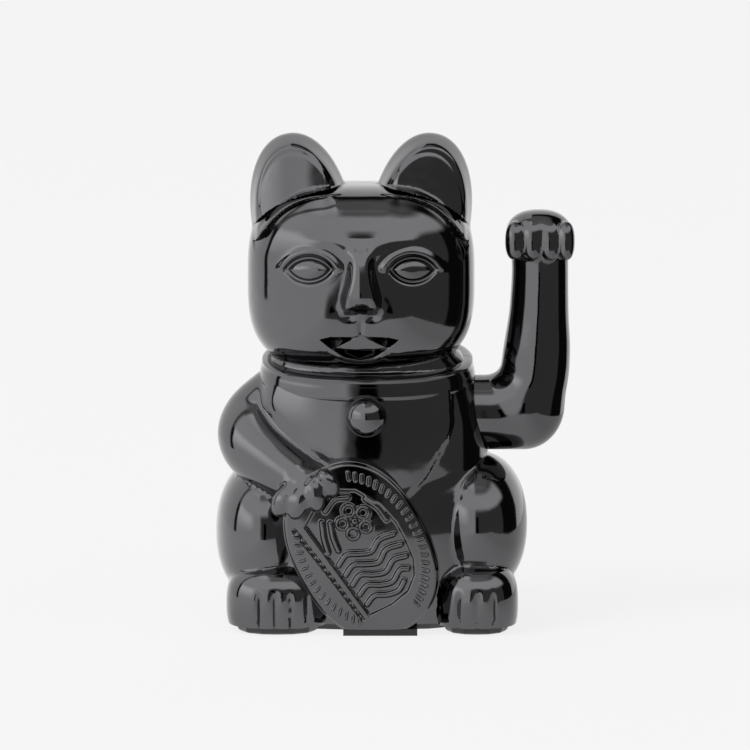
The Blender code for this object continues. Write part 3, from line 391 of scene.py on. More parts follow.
def divide_where(piece, chosen):
    pick([piece])
    mesh = piece.data
    mesh.polygons.foreach_set("select", np.zeros(len(mesh.polygons), bool))
    mesh.edges.foreach_set("select", np.zeros(len(mesh.edges), bool))
    mesh.vertices.foreach_set("select", np.zeros(len(mesh.vertices), bool))
    mesh.polygons.foreach_set("select", chosen)
    bpy.ops.object.mode_set(mode="EDIT")
    bpy.ops.mesh.select_mode(type="FACE")
    bpy.ops.mesh.subdivide(number_cuts=1)
    bpy.ops.object.mode_set(mode="OBJECT")


def centres_of(piece):
    flat = np.empty(len(piece.data.polygons) * 3)
    piece.data.polygons.foreach_get("center", flat)
    return flat.reshape(-1, 3) / MM


middle = centres_of(body_skin)
on_face = (
    (middle[:, 0] > FACE_LOW[0]) & (middle[:, 0] < FACE_HIGH[0])
    & (middle[:, 2] > FACE_LOW[1]) & (middle[:, 2] < FACE_HIGH[1])
    & (middle[:, 1] < FACE_FRONT)
)
beside_crown = np.abs(middle[:, 0] - HEAD.centre[0]) > CROWN_HALF
on_ears = (middle[:, 2] > EAR_FOOT) & (middle[:, 1] < EAR_FRONT) & beside_crown
divide_where(body_skin, on_face | on_ears)
middle = centres_of(body_skin)
from_mouth = np.abs(middle[:, [0, 2]] - (MOUTH_X, MOUTH_Z))
on_mouth = (from_mouth < MOUTH_HALF).all(1)
from_eye = np.abs(np.abs(middle[:, 0] - FACE_X) - EYE_SPREAD)
on_eyes = (from_eye < EYE_REACH + 1.5) & (np.abs(middle[:, 2] - EYE_Z) < EYE_RISE + 2)
divide_where(body_skin, (on_mouth | on_eyes) & (middle[:, 1] < FACE_FRONT))
outward = settle(body_skin, BODY_FORMS)
print("body skin", triangles(body_skin))

# %% [markdown]
# ## Relief on the face and ears
# Eyelids, nose and mouth are low relief, so they are pushed out along the way the cat faces, by an
# amount drawn on the front view. A dome inside an almond makes the eye, and a groove and a ridge
# follow the same almond to make its lids.

# %% Eyes
def inside_almond(across, up):
    """Distance inside the almond that two crossing arcs make."""
    radius = (EYE_REACH**2 + EYE_RISE**2) / (2 * EYE_RISE)
    return radius - np.hypot(across, np.abs(up) + radius - EYE_RISE)


def eye_relief(x, z):
    made = np.zeros_like(x)
    for side in (-1, 1):
        across = x - FACE_X - side * EYE_SPREAD
        up = z - EYE_Z + 0.03 * side * across
        inside = inside_almond(across, up)
        dome = 1.5 * (1 - (1 - np.clip(inside / EYE_RISE, 0, 1)) ** 2)
        socket = -0.7 * rise((inside + 3.0) / 2.8)
        groove = -0.4 * hump(inside + 0.3, 0.7)
        upper_lid = 1.1 * hump(inside + 2.0, 1.2) * rise(up / 2.0 + 0.6)
        lower_lid = 0.4 * hump(inside + 1.4, 0.9) * rise(-up / 2.0 + 0.2)
        made += dome + socket + groove + upper_lid + lower_lid
    return made


# %% Nose and brows
NOSE_HALVES = [(98, 5.6), (101.5, 6.0), (104, 5.6), (108, 4.6), (113, 4.0), (118, 4.3), (122, 5.4)]
NOSE_HEIGHTS = [
    (95.8, 0), (97.8, 1.0), (100, 3.2), (102.4, 4.7), (105, 4.6),
    (109, 3.6), (113, 2.4), (117, 0.9), (120, 0),
]
BROW_ROUTE = [(3.4, 115.5), (7.5, 118.3), (14, 118.9), (21, 116)]


def nose_relief(x, z):
    across = np.abs(x - FACE_X)
    half = np.interp(z, *smooth_route(NOSE_HALVES, 6).T)
    height = np.interp(z, *smooth_route(NOSE_HEIGHTS, 6).T)
    bridge = height * (1 - rise((across - half + 2.6) / 3.4))
    crown = 0.6 * hump(across, 2.6) * rise((z - 98) / 4) * rise((118 - z) / 6)
    wings = 0.7 * hump(np.hypot(across - 4.4, (z - 99.4) * 1.2), 1.8)
    nostrils = -1.1 * hump(np.hypot((across - 3.4) * 0.7, z - 96.9), 1.1)
    brow = np.zeros_like(x)
    for side in (-1, 1):
        far, along = to_line(x, z, [(FACE_X + side * out, up) for out, up in BROW_ROUTE])
        brow += 0.8 * hump(far, 2.3) * rise((1 - along) * 2)
    return bridge + crown + wings + nostrils + brow


# %% Mouth
MOUTH_OUTLINE = [
    (-15.3, 89.4), (-12.0, 90.3), (-3.9, 90.3), (-2.2, 90.3), (5.0, 90.1), (8.3, 89.3),
    (5.0, 86.6), (0.5, 83.6), (-3.4, 82.8), (-7.6, 83.8), (-12.2, 86.8),
]
TONGUE_OUTLINE = [
    (-3.9, 90.8), (-2.3, 90.8), (5.4, 86.9), (2.0, 86.2), (-3.4, 85.9), (-8.0, 86.2), (-11.5, 86.8),
]
LIP_ROUTE = [(-12.6, 86.2), (-8.0, 82.8), (-3.3, 81.6), (1.2, 82.5), (5.6, 85.6)]
MOUTH_DEPTH = 4.2


def mouth_relief(x, z):
    opened = -np.clip(inside_outline(x, z, MOUTH_OUTLINE) * 2.6 + 0.3, 0, MOUTH_DEPTH)
    covered = rise(inside_outline(x, z, TONGUE_OUTLINE) / 0.7 + 0.5)
    far, along = to_line(x, z, LIP_ROUTE)
    lower_lip = hump(far, 1.2) * rise(np.minimum(along, 1 - along) * 6)
    philtrum = -0.35 * hump(x - FACE_X, 0.8) * rise((z - 90.5) / 1.5) * rise((96 - z) / 1.5)
    cheeks = 0.0
    for side in (-1, 1):
        cheeks = cheeks + 0.8 * hump(np.hypot(x - FACE_X - side * 13, (z - 97) * 0.8), 6.0)
    return opened * (1 - covered) - 0.3 * covered + lower_lip + philtrum + cheeks


# %% Ears
EAR_LIP = [(6.4, 132.0), (11.5, 131.6), (17.0, 130.6), (22.5, 128.0), (27.0, 124.0), (31.8, 117.8)]
EAR_PLATE_Y = -20.8
EAR_PLATE_LEAN = 0.29
EAR_PLATE_REACH = 7


def ear_relief(points):
    """Brings each ear's front forward, dishes it inside a thin rim, and ends it in a lip over a cove."""
    made = np.zeros(len(points))
    for side, ear in zip((-1, 1), EARS):
        local = (points - ear.centre) @ turn_of(ear)
        size = np.hypot(local[:, 0] / ear.half[0], local[:, 2] / ear.half[2])
        route = [(HEAD.centre[0] + side * across, up) for across, up in EAR_LIP]
        above_lip = points[:, 2] - np.interp(points[:, 0], *smooth_route(sorted(route), 12).T)
        plate_y = EAR_PLATE_Y + EAR_PLATE_LEAN * np.maximum(above_lip, 0)
        plate = np.clip(points[:, 1] - plate_y, 0, EAR_PLATE_REACH)
        plate = plate * rise((1.0 - size) / 0.22) * rise((above_lip + 0.3) / 0.8)
        dish = -2.2 * rise((0.90 - size) / 0.10) * rise((above_lip - 0.6) / 2.4)
        rim = 0.3 * hump((size - 0.91) * 24, 1.0) * rise(above_lip / 2)
        beside = local[:, 0] ** 2 < ear.half[0] ** 2
        made += (plate + dish + rim) * beside
        far, along = to_line(points[:, 0], points[:, 2], route)
        made += hump(far, 1.1) * rise(np.minimum(along, 1 - along) * 6)
        cove = -1.5 * np.exp(np.minimum(above_lip, 0) / 3) * (1 - rise(above_lip / 0.6 + 0.5))
        made += cove * rise((np.abs(points[:, 0] - HEAD.centre[0]) - 7) / 5) * beside
    return made


# %% Lay the face's relief on the skin
points = points_of(body_skin)
x, y, z = points.T
facing = rise((-outward[:, 1] - 0.12) / 0.3)
face = eye_relief(x, z) + nose_relief(x, z) + mouth_relief(x, z)
face = face * rise((z - 79) / 2) * rise((124 - z) / 3)
ears = ear_relief(points) * rise((z - 114) / 4)
relief = (face + ears) * facing * (y < SEAM_Y)
print("relief from", round(relief.min(), 2), "to", round(relief.max(), 2), "mm")

# %% [markdown]
# ## Bib, toes and jaw
# The bib is one thin step below the collar. Toes are short grooves on the feet's fronts, and the jaw is
# drawn in a little towards the neck.

# %% Draw bib and toes
BIB_OUTLINE = [
    (-37, 78), (-37, 71), (-17, 49), (-9, 46), (-0.3, 44.5), (10, 40.5),
    (16.5, 47.2), (20.1, 53.5), (23.2, 58.7), (24.4, 62.8), (23.8, 78),
]
BIB_THICK = 1.1
TOE_DEPTH = 1.1
TOE_FRONT = -26
JAW_Z = 87.0
TOE_LINES = [-33.9, -29.0, -24.4, -19.2, 26.4, 32.0, 36.9]
jaw = -0.03 * np.clip(JAW_Z - z, 0, 8) ** 2 * rise((z - 76) / 2)
bib = BIB_THICK * rise(inside_outline(x, z, BIB_OUTLINE) + 0.5) * rise((z - 36) / 3) * (z < 82)
from_arm, _way = limb_gap(points, HOLD_ARM)
bib *= rise((from_arm - 0.5) / 4)
toes = np.zeros_like(x)
for line in TOE_LINES:
    toes -= TOE_DEPTH * hump(x - line, 0.75) * rise((14.5 - z) / 4) * (y < TOE_FRONT)
relief += ((bib + toes) * (z < 80) + jaw) * facing * (y < SEAM_Y)
points[:, 1] -= relief
set_points(body_skin, points)

# %% [markdown]
# ## Two shells with a real wall
# The skin is cut at the seam, hollowed and opened below, as the mouldings are. The wall is 2 mm.
# Bosses stay in the hollow where the base and bracket screws go in, and so does a backing behind the mouth.

# %% Hollow the skin
# ARM_ROOM is the radius of the shoulder's hole, and REACH is farther out than any piece.
ARM_ROOM = 12.3
REACH = 200.0
SHOULDER_END = (REACH, AXIS[1], AXIS[2])
CAVITY_VOXEL = 1.4
cavity = skin("cavity", HOLLOW_FORMS, CAVITY_VOXEL, SHELL_WALL)
settle(cavity, HOLLOW_FORMS, SHELL_WALL)
BOSS_RADIUS = 3.3
BOSS_FOOT = 4.5
BOSS_TOP = 14.5
RIB_REACH = 12
RIB_HALF = 1.2
BRACKET_GAP = 0.3
BACK_REACH = 36
MOUTH_BACKING = ((-18, -40, 80), (12, -24.5, 93))


def middle_of(name):
    low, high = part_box(name)
    return (low + high) / 2 / MM


screws = {name: middle_of(name) for name in frame["nodes"] if "base_screw" in name}
kept = [add_rod(AXIS - (SHELL_WALL, 0, 0), SHOULDER_END, ARM_ROOM + SHELL_WALL, 96)]
for name, spot in screws.items():
    kept.append(add_rod((spot.x, spot.y, BOSS_FOOT), (spot.x, spot.y, BOSS_TOP), BOSS_RADIUS))
    step = Vector((0, RIB_REACH, 0)) if "back" in name else Vector((math.copysign(RIB_REACH, spot.x), 0, 0))
    side = Vector((RIB_HALF, 0, 0)) if "back" in name else Vector((0, RIB_HALF, 0))
    ends = [spot - side, spot + side + step, spot + side, spot - side + step]
    low = [min(end[axis] for end in ends) for axis in (0, 1)]
    high = [max(end[axis] for end in ends) for axis in (0, 1)]
    kept.append(add_box((*low, BOSS_FOOT), (*high, BOSS_TOP)))
bracket_screws = [middle_of(name) for name in ("bracket_screw_upper", "bracket_screw_lower")]
bracket_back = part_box("pivot_bracket")[1].y / MM + BRACKET_GAP
for spot in bracket_screws:
    kept.append(add_rod((spot.x, bracket_back, spot.z), (spot.x, BACK_REACH, spot.z), BOSS_RADIUS))
kept.append(add_box(*MOUTH_BACKING))
for solid in kept:
    cut(cavity, solid)
drop(*kept)
print("cavity", triangles(cavity))

# %% Part the shells at the seam
PILOT_RADIUS = 1.4
PILOT_TOP = 12.6
PILOT_REACH = 6
HUB_HOLE = 5.0


def halves_of(whole, title, room_low, tools):
    """A moulding's front and back half. Each keeps its own side of the seam, then loses the tools."""
    sides = (("front", -REACH, SEAM_Y - SEAM_GAP / 2), ("back", SEAM_Y + SEAM_GAP / 2, REACH))
    halves = {}
    for name, low_y, high_y in sides:
        half = whole.copy()
        half.data = whole.data.copy()
        bpy.context.collection.objects.link(half)
        half.name = title.format(name)
        room = add_box((room_low[0], low_y, room_low[1]), (REACH, high_y, REACH))
        cut(half, room, "INTERSECT")
        for tool in tools:
            cut(half, tool)
        drop(room)
        halves[name] = half
        print(half.name, triangles(half))
    return halves


holes = [add_rod((s.x, s.y, -1), (s.x, s.y, PILOT_TOP), PILOT_RADIUS, 24) for s in screws.values()]
for spot in bracket_screws:
    start, end = (spot.x, spot.y - PILOT_REACH, spot.z), (spot.x, spot.y + PILOT_REACH, spot.z)
    holes.append(add_rod(start, end, PILOT_RADIUS, 24))
holes.append(add_rod(AXIS - (4, 0, 0), AXIS + (2, 0, 0), HUB_HOLE, 64))
shoulder = add_rod(AXIS, SHOULDER_END, ARM_ROOM, 128)
cut(body_skin, shoulder)
shells = halves_of(body_skin, "chrome_{}_shell", (-REACH, FOOT_Z), [cavity, *holes])
drop(*holes, cavity, body_skin)

# %% [markdown]
# ## The raised arm
# The arm is a short round root that turns in the shoulder, an elbow, a tapering forearm and a paw
# with four curled fingers. It is moulded in two halves as well, and both ride on the swinging body.

# %% Skin the arm
# Each finger's place along the arm's axis, and its half width.
FINGERS = [(12.6, 3.1), (17.8, 3.1), (23.1, 3.1), (27.9, 2.7)]
ROOT = Limb([AXIS + (-8, 0, 0), AXIS + (4, 0, 0), AXIS + (15.5, 0, 0)], [11.4, 11.4, 11.4], 2.0)
FOREARM_ROUTE = [(16.5, 0, 4), (18.5, 0, 11), (19.4, 0, 19), (20, 0, 30), (20.3, 0, 42), (20.2, -0.5, 50)]
FOREARM = Limb([AXIS + spot for spot in FOREARM_ROUTE], [10.8, 10.5, 10.2, 9.1, 8.6, 8.7], 4.0)
PAW = Lump(tuple(AXIS + (19.9, -1.2, 54.4)), (10.1, 9.2, 7.8), 2.3, 2.3, soft=0.8)
FINGER_FORMS = []
for across, half in FINGERS:
    finger_centre = tuple(AXIS + (across, -7.6, 53.4))
    FINGER_FORMS.append(Lump(finger_centre, (half, 3.6, 5.9), 2.4, 2.4, (-8, 0, 0), 0.9))
ARM_HOLLOW = [ROOT, FOREARM, PAW._replace(soft=1.4)]
ARM_FORMS = [ROOT, FOREARM, PAW, *FINGER_FORMS]
ARM_VOXEL = 0.45
ARM_CAVITY_VOXEL = 1.1
ARM_WALL = 1.4
ARM_START = 0.3
PEG_REACH = 7.3
PEG_HALF = 2.7
SOCKET_RADIUS = 5.0
arm_skin = skin("arm_skin", ARM_FORMS, ARM_VOXEL)
settle(arm_skin, ARM_FORMS)
arm_cavity = skin("arm_cavity", ARM_HOLLOW, ARM_CAVITY_VOXEL, ARM_WALL)
settle(arm_cavity, ARM_HOLLOW, ARM_WALL)
socket = add_rod(AXIS - (10, 0, 0), AXIS + (PEG_REACH + ARM_WALL, 0, 0), SOCKET_RADIUS)
root_wall = add_box(AXIS - (12, 20, 20), AXIS + (ARM_START + ARM_WALL, 20, 20))
for solid in (socket, root_wall):
    cut(arm_cavity, solid)
peg_hole = add_box(AXIS - (12, PEG_HALF, PEG_HALF), AXIS + (PEG_REACH, PEG_HALF, PEG_HALF))
arms = halves_of(arm_skin, "chrome_arm_{}", (AXIS[0] + ARM_START, 0), [arm_cavity, peg_hole])
drop(socket, root_wall, peg_hole, arm_cavity, arm_skin)

# %% [markdown]
# ## The oval tablet
# The coin tablet is an oval slab, slightly domed, with a sunken panel inside a rim of short raised
# strokes. The ornament is a blossom above waves. A grid is drawn out into the oval, because its even
# faces carry the relief.

# %% Draw the tablet's ornament
TABLET_CENTRE = (-2.8, -31.5, 26.0)
TABLET_HALF = (20.3, 27.5)
TABLET_DEPTH = 4.5
TABLET_ROUND = 2.4
TABLET_TURN = np.array(Euler((math.radians(-6), math.radians(-29), 0)).to_matrix())
PANEL = [
    (-11.4, 14.5), (-5, 18.6), (1.5, 20.2), (7.5, 16.8), (11.9, 9.5), (13.6, 2), (13.4, -4),
    (12.7, -10), (10.6, -14.4), (6.5, -17.8), (0, -19.0), (-7.6, -18.6),
]
GROOVE = [(-14.4, 15.0), (-11.9, -1.0), (-9.6, -18.6)]
BLOSSOM = (2.6, 8.6)
STROKES = [
    [(-9.0, 4.0), (-8.0, 8.5), (-6.2, 13.0)],
    [(-6.0, 3.2), (-5.4, 7.5), (-4.0, 11.6)],
    [(-3.6, 15.6), (0.6, 17.4), (4.4, 16.0)],
    [(8.8, 13.0), (10.8, 9.0), (11.4, 4.6)],
    [(-8.2, -0.8), (-4.5, 0.9), (-1.0, -0.6), (2.6, -1.8), (6.4, 0.2), (11.0, -0.4)],
    [(-7.8, -4.4), (-4.2, -2.8), (-0.6, -4.4), (3.0, -5.6), (6.8, -3.4), (11.4, -4.2)],
    [(-7.4, -8.0), (-3.8, -6.4), (-0.2, -8.2), (3.4, -9.2), (7.2, -7.2), (11.0, -8.0)],
    [(-7.0, -11.6), (-3.4, -10.2), (0.2, -12.0), (3.8, -12.8), (7.4, -10.8), (9.6, -11.6)],
    [(-6.4, -15.2), (-3.0, -14.0), (0.6, -15.6), (4.0, -16.0), (6.8, -14.4)],
]


def tablet_relief(u, v, reach):
    panel = -0.95 * rise(inside_outline(u, v, PANEL) / 0.9 + 0.2)
    far, along = to_line(u, v, GROOVE)
    dashes = 0.8 + 0.2 * np.sin(along * 2 * math.pi * 14)
    groove = -0.75 * hump(far, 0.45) * dashes
    raised = np.zeros_like(u)
    for stroke in STROKES:
        far, along = to_line(u, v, stroke)
        raised = np.maximum(raised, rise((1.15 - far) / 0.85))
    from_middle = np.hypot(u - BLOSSOM[0], v - BLOSSOM[1])
    raised = np.maximum(raised, rise((1.3 - from_middle) / 0.7))
    for petal in range(5):
        angle = math.radians(90 + 72 * petal)
        far = np.hypot(u - BLOSSOM[0] - 3.7 * math.cos(angle), v - BLOSSOM[1] - 3.7 * math.sin(angle))
        raised = np.maximum(raised, rise((0.75 - np.abs(far - 1.75)) / 0.6))
    edge = -1.3 * rise((reach - 0.93) / 0.07) ** 2
    crown = 0.7 * (1 - reach**2) + 0.10 * v
    notches = np.zeros_like(u)
    angles = [*range(-68, 66, 6), *range(148, 238, 6)]
    for angle in angles:
        cos, sin = math.cos(math.radians(angle)), math.sin(math.radians(angle))
        end_u, end_v = TABLET_HALF[0] * cos, TABLET_HALF[1] * sin
        route = [(end_u * share, end_v * share) for share in (0.83, 0.87, 0.91)]
        far, along = to_line(u, v, route, 2)
        notches = np.maximum(notches, 0.65 * rise((0.55 - far) / 0.45))
    return panel + groove + 0.85 * raised + edge + crown + notches * (panel > -0.4)


# %% Shape the tablet
deselect_all()
bpy.ops.mesh.primitive_grid_add(x_subdivisions=190, y_subdivisions=250, size=2 * MM)
tablet = bpy.context.object
tablet.name = "coin_tablet"
s, t, _flat = points_of(tablet).T
across, up = s * np.sqrt(1 - t * t / 2), t * np.sqrt(1 - s * s / 2)
reach = np.hypot(across, up)
angle = np.arctan2(up, across)
stretch = squared(angle, TABLET_ROUND)
u, v = across * stretch * TABLET_HALF[0], up * stretch * TABLET_HALF[1]
front = -TABLET_DEPTH - tablet_relief(u, v, reach)
set_points(tablet, np.stack([u, front, v], 1))
count = len(u)
pick([tablet])
bpy.ops.object.mode_set(mode="EDIT")
bpy.ops.mesh.select_all(action="SELECT")
bpy.ops.mesh.extrude_region_move(TRANSFORM_OT_translate={"value": (0, 0.001, 0)})
bpy.ops.mesh.select_all(action="SELECT")
bpy.ops.object.mode_set(mode="OBJECT")
slab = points_of(tablet)
slab[count:, 1] = TABLET_DEPTH
set_points(tablet, slab)
bpy.ops.object.mode_set(mode="EDIT")
bpy.ops.mesh.normals_make_consistent(inside=False)
bpy.ops.object.mode_set(mode="OBJECT")
set_points(tablet, points_of(tablet) @ TABLET_TURN.T + TABLET_CENTRE)
above_foot = add_box((-REACH, -REACH, FOOT_Z), (REACH, REACH, REACH))
cut(tablet, above_foot, "INTERSECT")
drop(above_foot)
print("tablet", triangles(tablet))

# %% [markdown]
# ## Collar and bell
# The collar is a rounded band round the neck. It has a fine upper rim, flares a little towards its
# lower edge and leaves room for the arm's root. The bell is a ball on it with a faint line round it.

# %% Shape the collar
COLLAR_CENTRE = (-1.1, -3.4, 77.6)
COLLAR_HALF = (31.6, 25.4)
COLLAR_TALL = 3.6
COLLAR_THICK = 2.6
COLLAR_DROOP = 8.0
COLLAR_FLARE = 1.7
TORUS_RADIUS = 30.0
BAND_ROUND = 5.0
COLLAR_ROUND = 2.4
deselect_all()
bpy.ops.mesh.primitive_torus_add(
    major_segments=240, minor_segments=28, major_radius=TORUS_RADIUS * MM, minor_radius=COLLAR_THICK * MM
)
collar = bpy.context.object
ring = points_of(collar)
around = np.arctan2(ring[:, 1], ring[:, 0])
turned = np.arctan2(ring[:, 2], np.hypot(ring[:, 0], ring[:, 1]) - TORUS_RADIUS)
square = squared(turned, BAND_ROUND)
out = COLLAR_THICK * np.cos(turned) * square
up = COLLAR_TALL * np.sin(turned) * square
out += COLLAR_FLARE * (0.5 - up / (2 * COLLAR_TALL))
out += (0.5 * hump(up - 3.0, 0.5) - 0.25 * hump(up - 1.9, 0.5)) * (out > 0)
stretch = squared(around, COLLAR_ROUND)
wide = (COLLAR_HALF[0] - COLLAR_THICK + out) * np.cos(around) * stretch
deep = (COLLAR_HALF[1] - COLLAR_THICK + out) * np.sin(around) * stretch
droop = np.array(Matrix.Rotation(math.radians(COLLAR_DROOP), 3, "X"))
set_points(collar, np.stack([wide, deep, up], 1) @ droop.T + COLLAR_CENTRE)
collars = halves_of(collar, "collar_{}", (-REACH, FOOT_Z), [shoulder])
drop(collar, shoulder)

# %% Shape the bell
BELL = Lump((-1.4, -33.0, 66.5), (6.1, 6.1, 6.1))
deselect_all()
bell = add_lump(BELL, sides=96)
bell.name = "bell"
ball = points_of(bell) - BELL.centre
line = 0.12 * hump(ball[:, 2], 0.35)
ball *= (1 + line / BELL.half[0])[:, None]
set_points(bell, ball + BELL.centre)

# %% [markdown]
# ## Every piece takes its place
# Each new piece rides on a body of the frame and stands for the node that it replaces.

# %% Ride and replace
def smooth(piece):
    pick([piece])
    bpy.ops.object.shade_smooth_by_angle(angle=math.radians(50))


CHROME_PIECES = [*shells.values(), *arms.values(), tablet, *collars.values(), bell]
for name, shell in shells.items():
    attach(shell, "body")
    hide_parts(name + "_shell")
for name, half in arms.items():
    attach(half, "arm")
    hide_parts("arm_" + name + "_half")
for piece in (tablet, bell, *collars.values()):
    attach(piece, "body")
for piece in CHROME_PIECES:
    smooth(piece)
print("pieces", [piece.name for piece in CHROME_PIECES])

# %% [markdown]
# ## Finishes
# Shader maths is written as plain sums: a wire wraps a socket, and adding or multiplying wires adds
# the Math nodes. The black chrome is a metal coat under a dark lacquer: one low, neutral reflection
# with hardly any roughness, slight smears from handling, and a faint ripple left by the moulding.

# %% Wires and nodes
class Wire:
    def __init__(self, socket):
        self.socket = socket

    def math(self, operation, first, second):
        tree = self.socket.id_data
        node = tree.nodes.new("ShaderNodeMath")
        node.operation = operation
        for slot, value in zip(node.inputs, (first, second)):
            if isinstance(value, Wire):
                tree.links.new(value.socket, slot)
            else:
                slot.default_value = value
        return Wire(node.outputs[0])

    def __add__(self, other):
        return self.math("ADD", self, other)

    def __sub__(self, other):
        return self.math("SUBTRACT", self, other)

    def __rsub__(self, other):
        return self.math("SUBTRACT", other, self)

    def __mul__(self, other):
        return self.math("MULTIPLY", self, other)

    __radd__ = __add__
    __rmul__ = __mul__


class Finish:
    """One material: constants go on the shader's own sockets, patterns through wires."""

    def __init__(self, name, **constants):
        self.material = bpy.data.materials.new(name)
        self.material.use_nodes = True
        self.tree = self.material.node_tree
        self.shader = self.tree.nodes["Principled BSDF"]
        for label, value in constants.items():
            socket = self.shader.inputs[label.replace("_", " ")]
            socket.default_value = (*value, 1.0) if isinstance(value, tuple) else value

    def node(self, kind, settings=(), output=0, **sockets):
        node = self.tree.nodes.new("ShaderNode" + kind)
        for label, value in dict(settings).items():
            if label == "stops":
                for index, (place, colour) in enumerate(value):
                    stop = node.color_ramp.elements[index]
                    stop.position = place
                    stop.color = (*colour, 1.0)
            else:
                setattr(node, label, value)
        for label, value in sockets.items():
            self.feed(node.inputs[label.replace("_", " ")], value)
        return Wire(node.outputs[output])

    def feed(self, socket, value):
        if isinstance(value, Wire):
            self.tree.links.new(value.socket, socket)
        else:
            socket.default_value = value

    def place(self, stretch=(1, 1, 1)):
        spot = self.node("TexCoord", output=3)
        return self.node("Mapping", Vector=spot, Scale=stretch)

    def noise(self, scale, detail=2.0, stretch=(1, 1, 1)):
        return self.node("TexNoise", Vector=self.place(stretch), Scale=scale, Detail=detail)

    def shade(self, value, dark, light):
        return self.node("ValToRGB", {"stops": [(0.3, dark), (0.7, light)]}, Fac=value)

    def bump(self, height, distance, strength=1.0):
        made = self.node("Bump", Height=height, Distance=distance, Strength=strength)
        self.feed(self.shader.inputs["Normal"], made)

    def wear(self, **sockets):
        for label, value in sockets.items():
            self.feed(self.shader.inputs[label.replace("_", " ")], value)
        return self.material


# %% Black chrome
def black_chrome():
    made = Finish("black_chrome", Metallic=1.0)
    smears = made.noise(38, 3.0)
    grain = made.noise(900, 2.0)
    tone = made.shade(smears, (0.122, 0.122, 0.127), (0.142, 0.142, 0.147))
    made.bump(made.noise(160, 1.0), 0.00006)
    return made.wear(Base_Color=tone, Roughness=0.035 + smears * 0.05 + grain * 0.02)


# %% Plain moulded, drawn and wound finishes
def moulded(name, dark, light, roughness, grain_scale=2500, grain_depth=0.00004):
    made = Finish(name)
    spread = made.noise(120, 3.0)
    grain = made.noise(grain_scale, 2.0)
    made.bump(grain, grain_depth)
    return made.wear(Base_Color=made.shade(spread, dark, light), Roughness=roughness + spread * 0.15)


def steel(name, dark, light, roughness, stretch=(1, 1, 14)):
    made = Finish(name, Metallic=1.0)
    lines = made.noise(900, 2.0, stretch)
    blotches = made.noise(260, 3.0)
    made.bump(lines, 0.00002)
    return made.wear(Base_Color=made.shade(blotches, dark, light), Roughness=roughness + lines * 0.2)


def wound_copper():
    made = Finish("wound_copper", Metallic=0.9, Coat_Weight=0.6)
    settings = {"wave_type": "BANDS", "bands_direction": "Z"}
    turns = made.node("TexWave", settings, 1, Vector=made.place(), Scale=900.0, Distortion=0.3)
    made.bump(turns, 0.0001)
    tone = made.shade(turns, (0.30, 0.09, 0.03), (0.80, 0.36, 0.18))
    return made.wear(Base_Color=tone, Roughness=0.25 + turns * 0.15)


def board_green():
    made = Finish("board_green", Coat_Weight=0.4)
    weave = made.node("TexChecker", (), 1, Vector=made.place(), Scale=1400.0)
    spread = made.noise(300, 2.0)
    made.bump(weave, 0.00002)
    tone = made.shade(spread, (0.015, 0.13, 0.05), (0.03, 0.22, 0.09))
    return made.wear(Base_Color=tone, Roughness=0.35 + weave * 0.08)


def cell_wrap():
    made = Finish("cell_wrap", Metallic=0.6, Coat_Weight=0.8)
    spot = made.node("TexCoord", output=3)
    drawn_out = made.node("Mapping", Vector=spot, Location=(0.5, 0, 0), Scale=(18, 1, 1))
    bands = made.node("TexGradient", (), 1, Vector=drawn_out)
    stops = [(0.12, (0.75, 0.6, 0.2)), (0.14, (0.02, 0.09, 0.3))]
    tone = made.node("ValToRGB", {"stops": stops}, Fac=bands)
    spread = made.noise(400, 2.0)
    return made.wear(Base_Color=tone, Roughness=0.25 + spread * 0.15)


# %% Dress every piece
FINISHES = {
    "black_chrome_plastic": black_chrome(),
    "black_satin_plastic": moulded("black_satin", (0.012, 0.012, 0.013), (0.022, 0.022, 0.024), 0.25),
    "natural_nylon": moulded("natural_nylon", (0.70, 0.67, 0.58), (0.80, 0.77, 0.69), 0.38),
    "zinc_steel": steel("zinc_steel", (0.50, 0.50, 0.47), (0.68, 0.68, 0.66), 0.22),
    "raw_steel": steel("raw_steel", (0.24, 0.23, 0.22), (0.38, 0.36, 0.34), 0.35),
    "enamelled_copper": wound_copper(),
    "board_green": board_green(),
    "component_black": moulded("component_black", (0.012, 0.012, 0.012), (0.03, 0.03, 0.03), 0.4),
    "switch_white": moulded("switch_white", (0.70, 0.70, 0.67), (0.80, 0.80, 0.78), 0.35),
    "cell_wrap": cell_wrap(),
    "wire_red": moulded("wire_red", (0.45, 0.015, 0.015), (0.60, 0.03, 0.03), 0.3),
}
slot_of = {row["node"]: row["material_slot"] for row in frame["record"]["subparts"]}
for name, node in frame["nodes"].items():
    node.data.materials.clear()
    node.data.materials.append(FINISHES[slot_of[name]])
for piece in CHROME_PIECES:
    piece.data.materials.clear()
    piece.data.materials.append(FINISHES["black_chrome_plastic"])
print("finishes", len(FINISHES))

# %% [markdown]
# ## Studio
# A mirror shows its surroundings, so the studio is most of the look: a pale table that ends 300 mm in
# front of the cat and 230 mm towards the raised arm and glows with painted light that fades from left to
# right, a bright wall on the left, a dark one on the right, a light overhead, a pale wall behind for the
# bright outlines, and the dark stand of the camera. The camera itself sees an even backdrop, and a floor
# that no mirror shows.

# %% Floor, table and stand
def stage_plane(name, centre, size, turn=(0, 0, 0)):
    deselect_all()
    bpy.ops.mesh.primitive_plane_add(size=1, location=Vector(centre) * MM)
    piece = bpy.context.object
    piece.scale = (size[0] * MM, size[1] * MM, 1)
    piece.rotation_euler = [math.radians(angle) for angle in turn]
    piece.name = name
    bpy.ops.object.transform_apply()
    return piece


def glow(name, colour, strength, diffuse=(0, 0, 0)):
    lit = {"Base_Color": diffuse, "Emission_Color": colour, "Emission_Strength": strength}
    return Finish(name, Roughness=0.9, Specular_IOR_Level=0.0, **lit).material


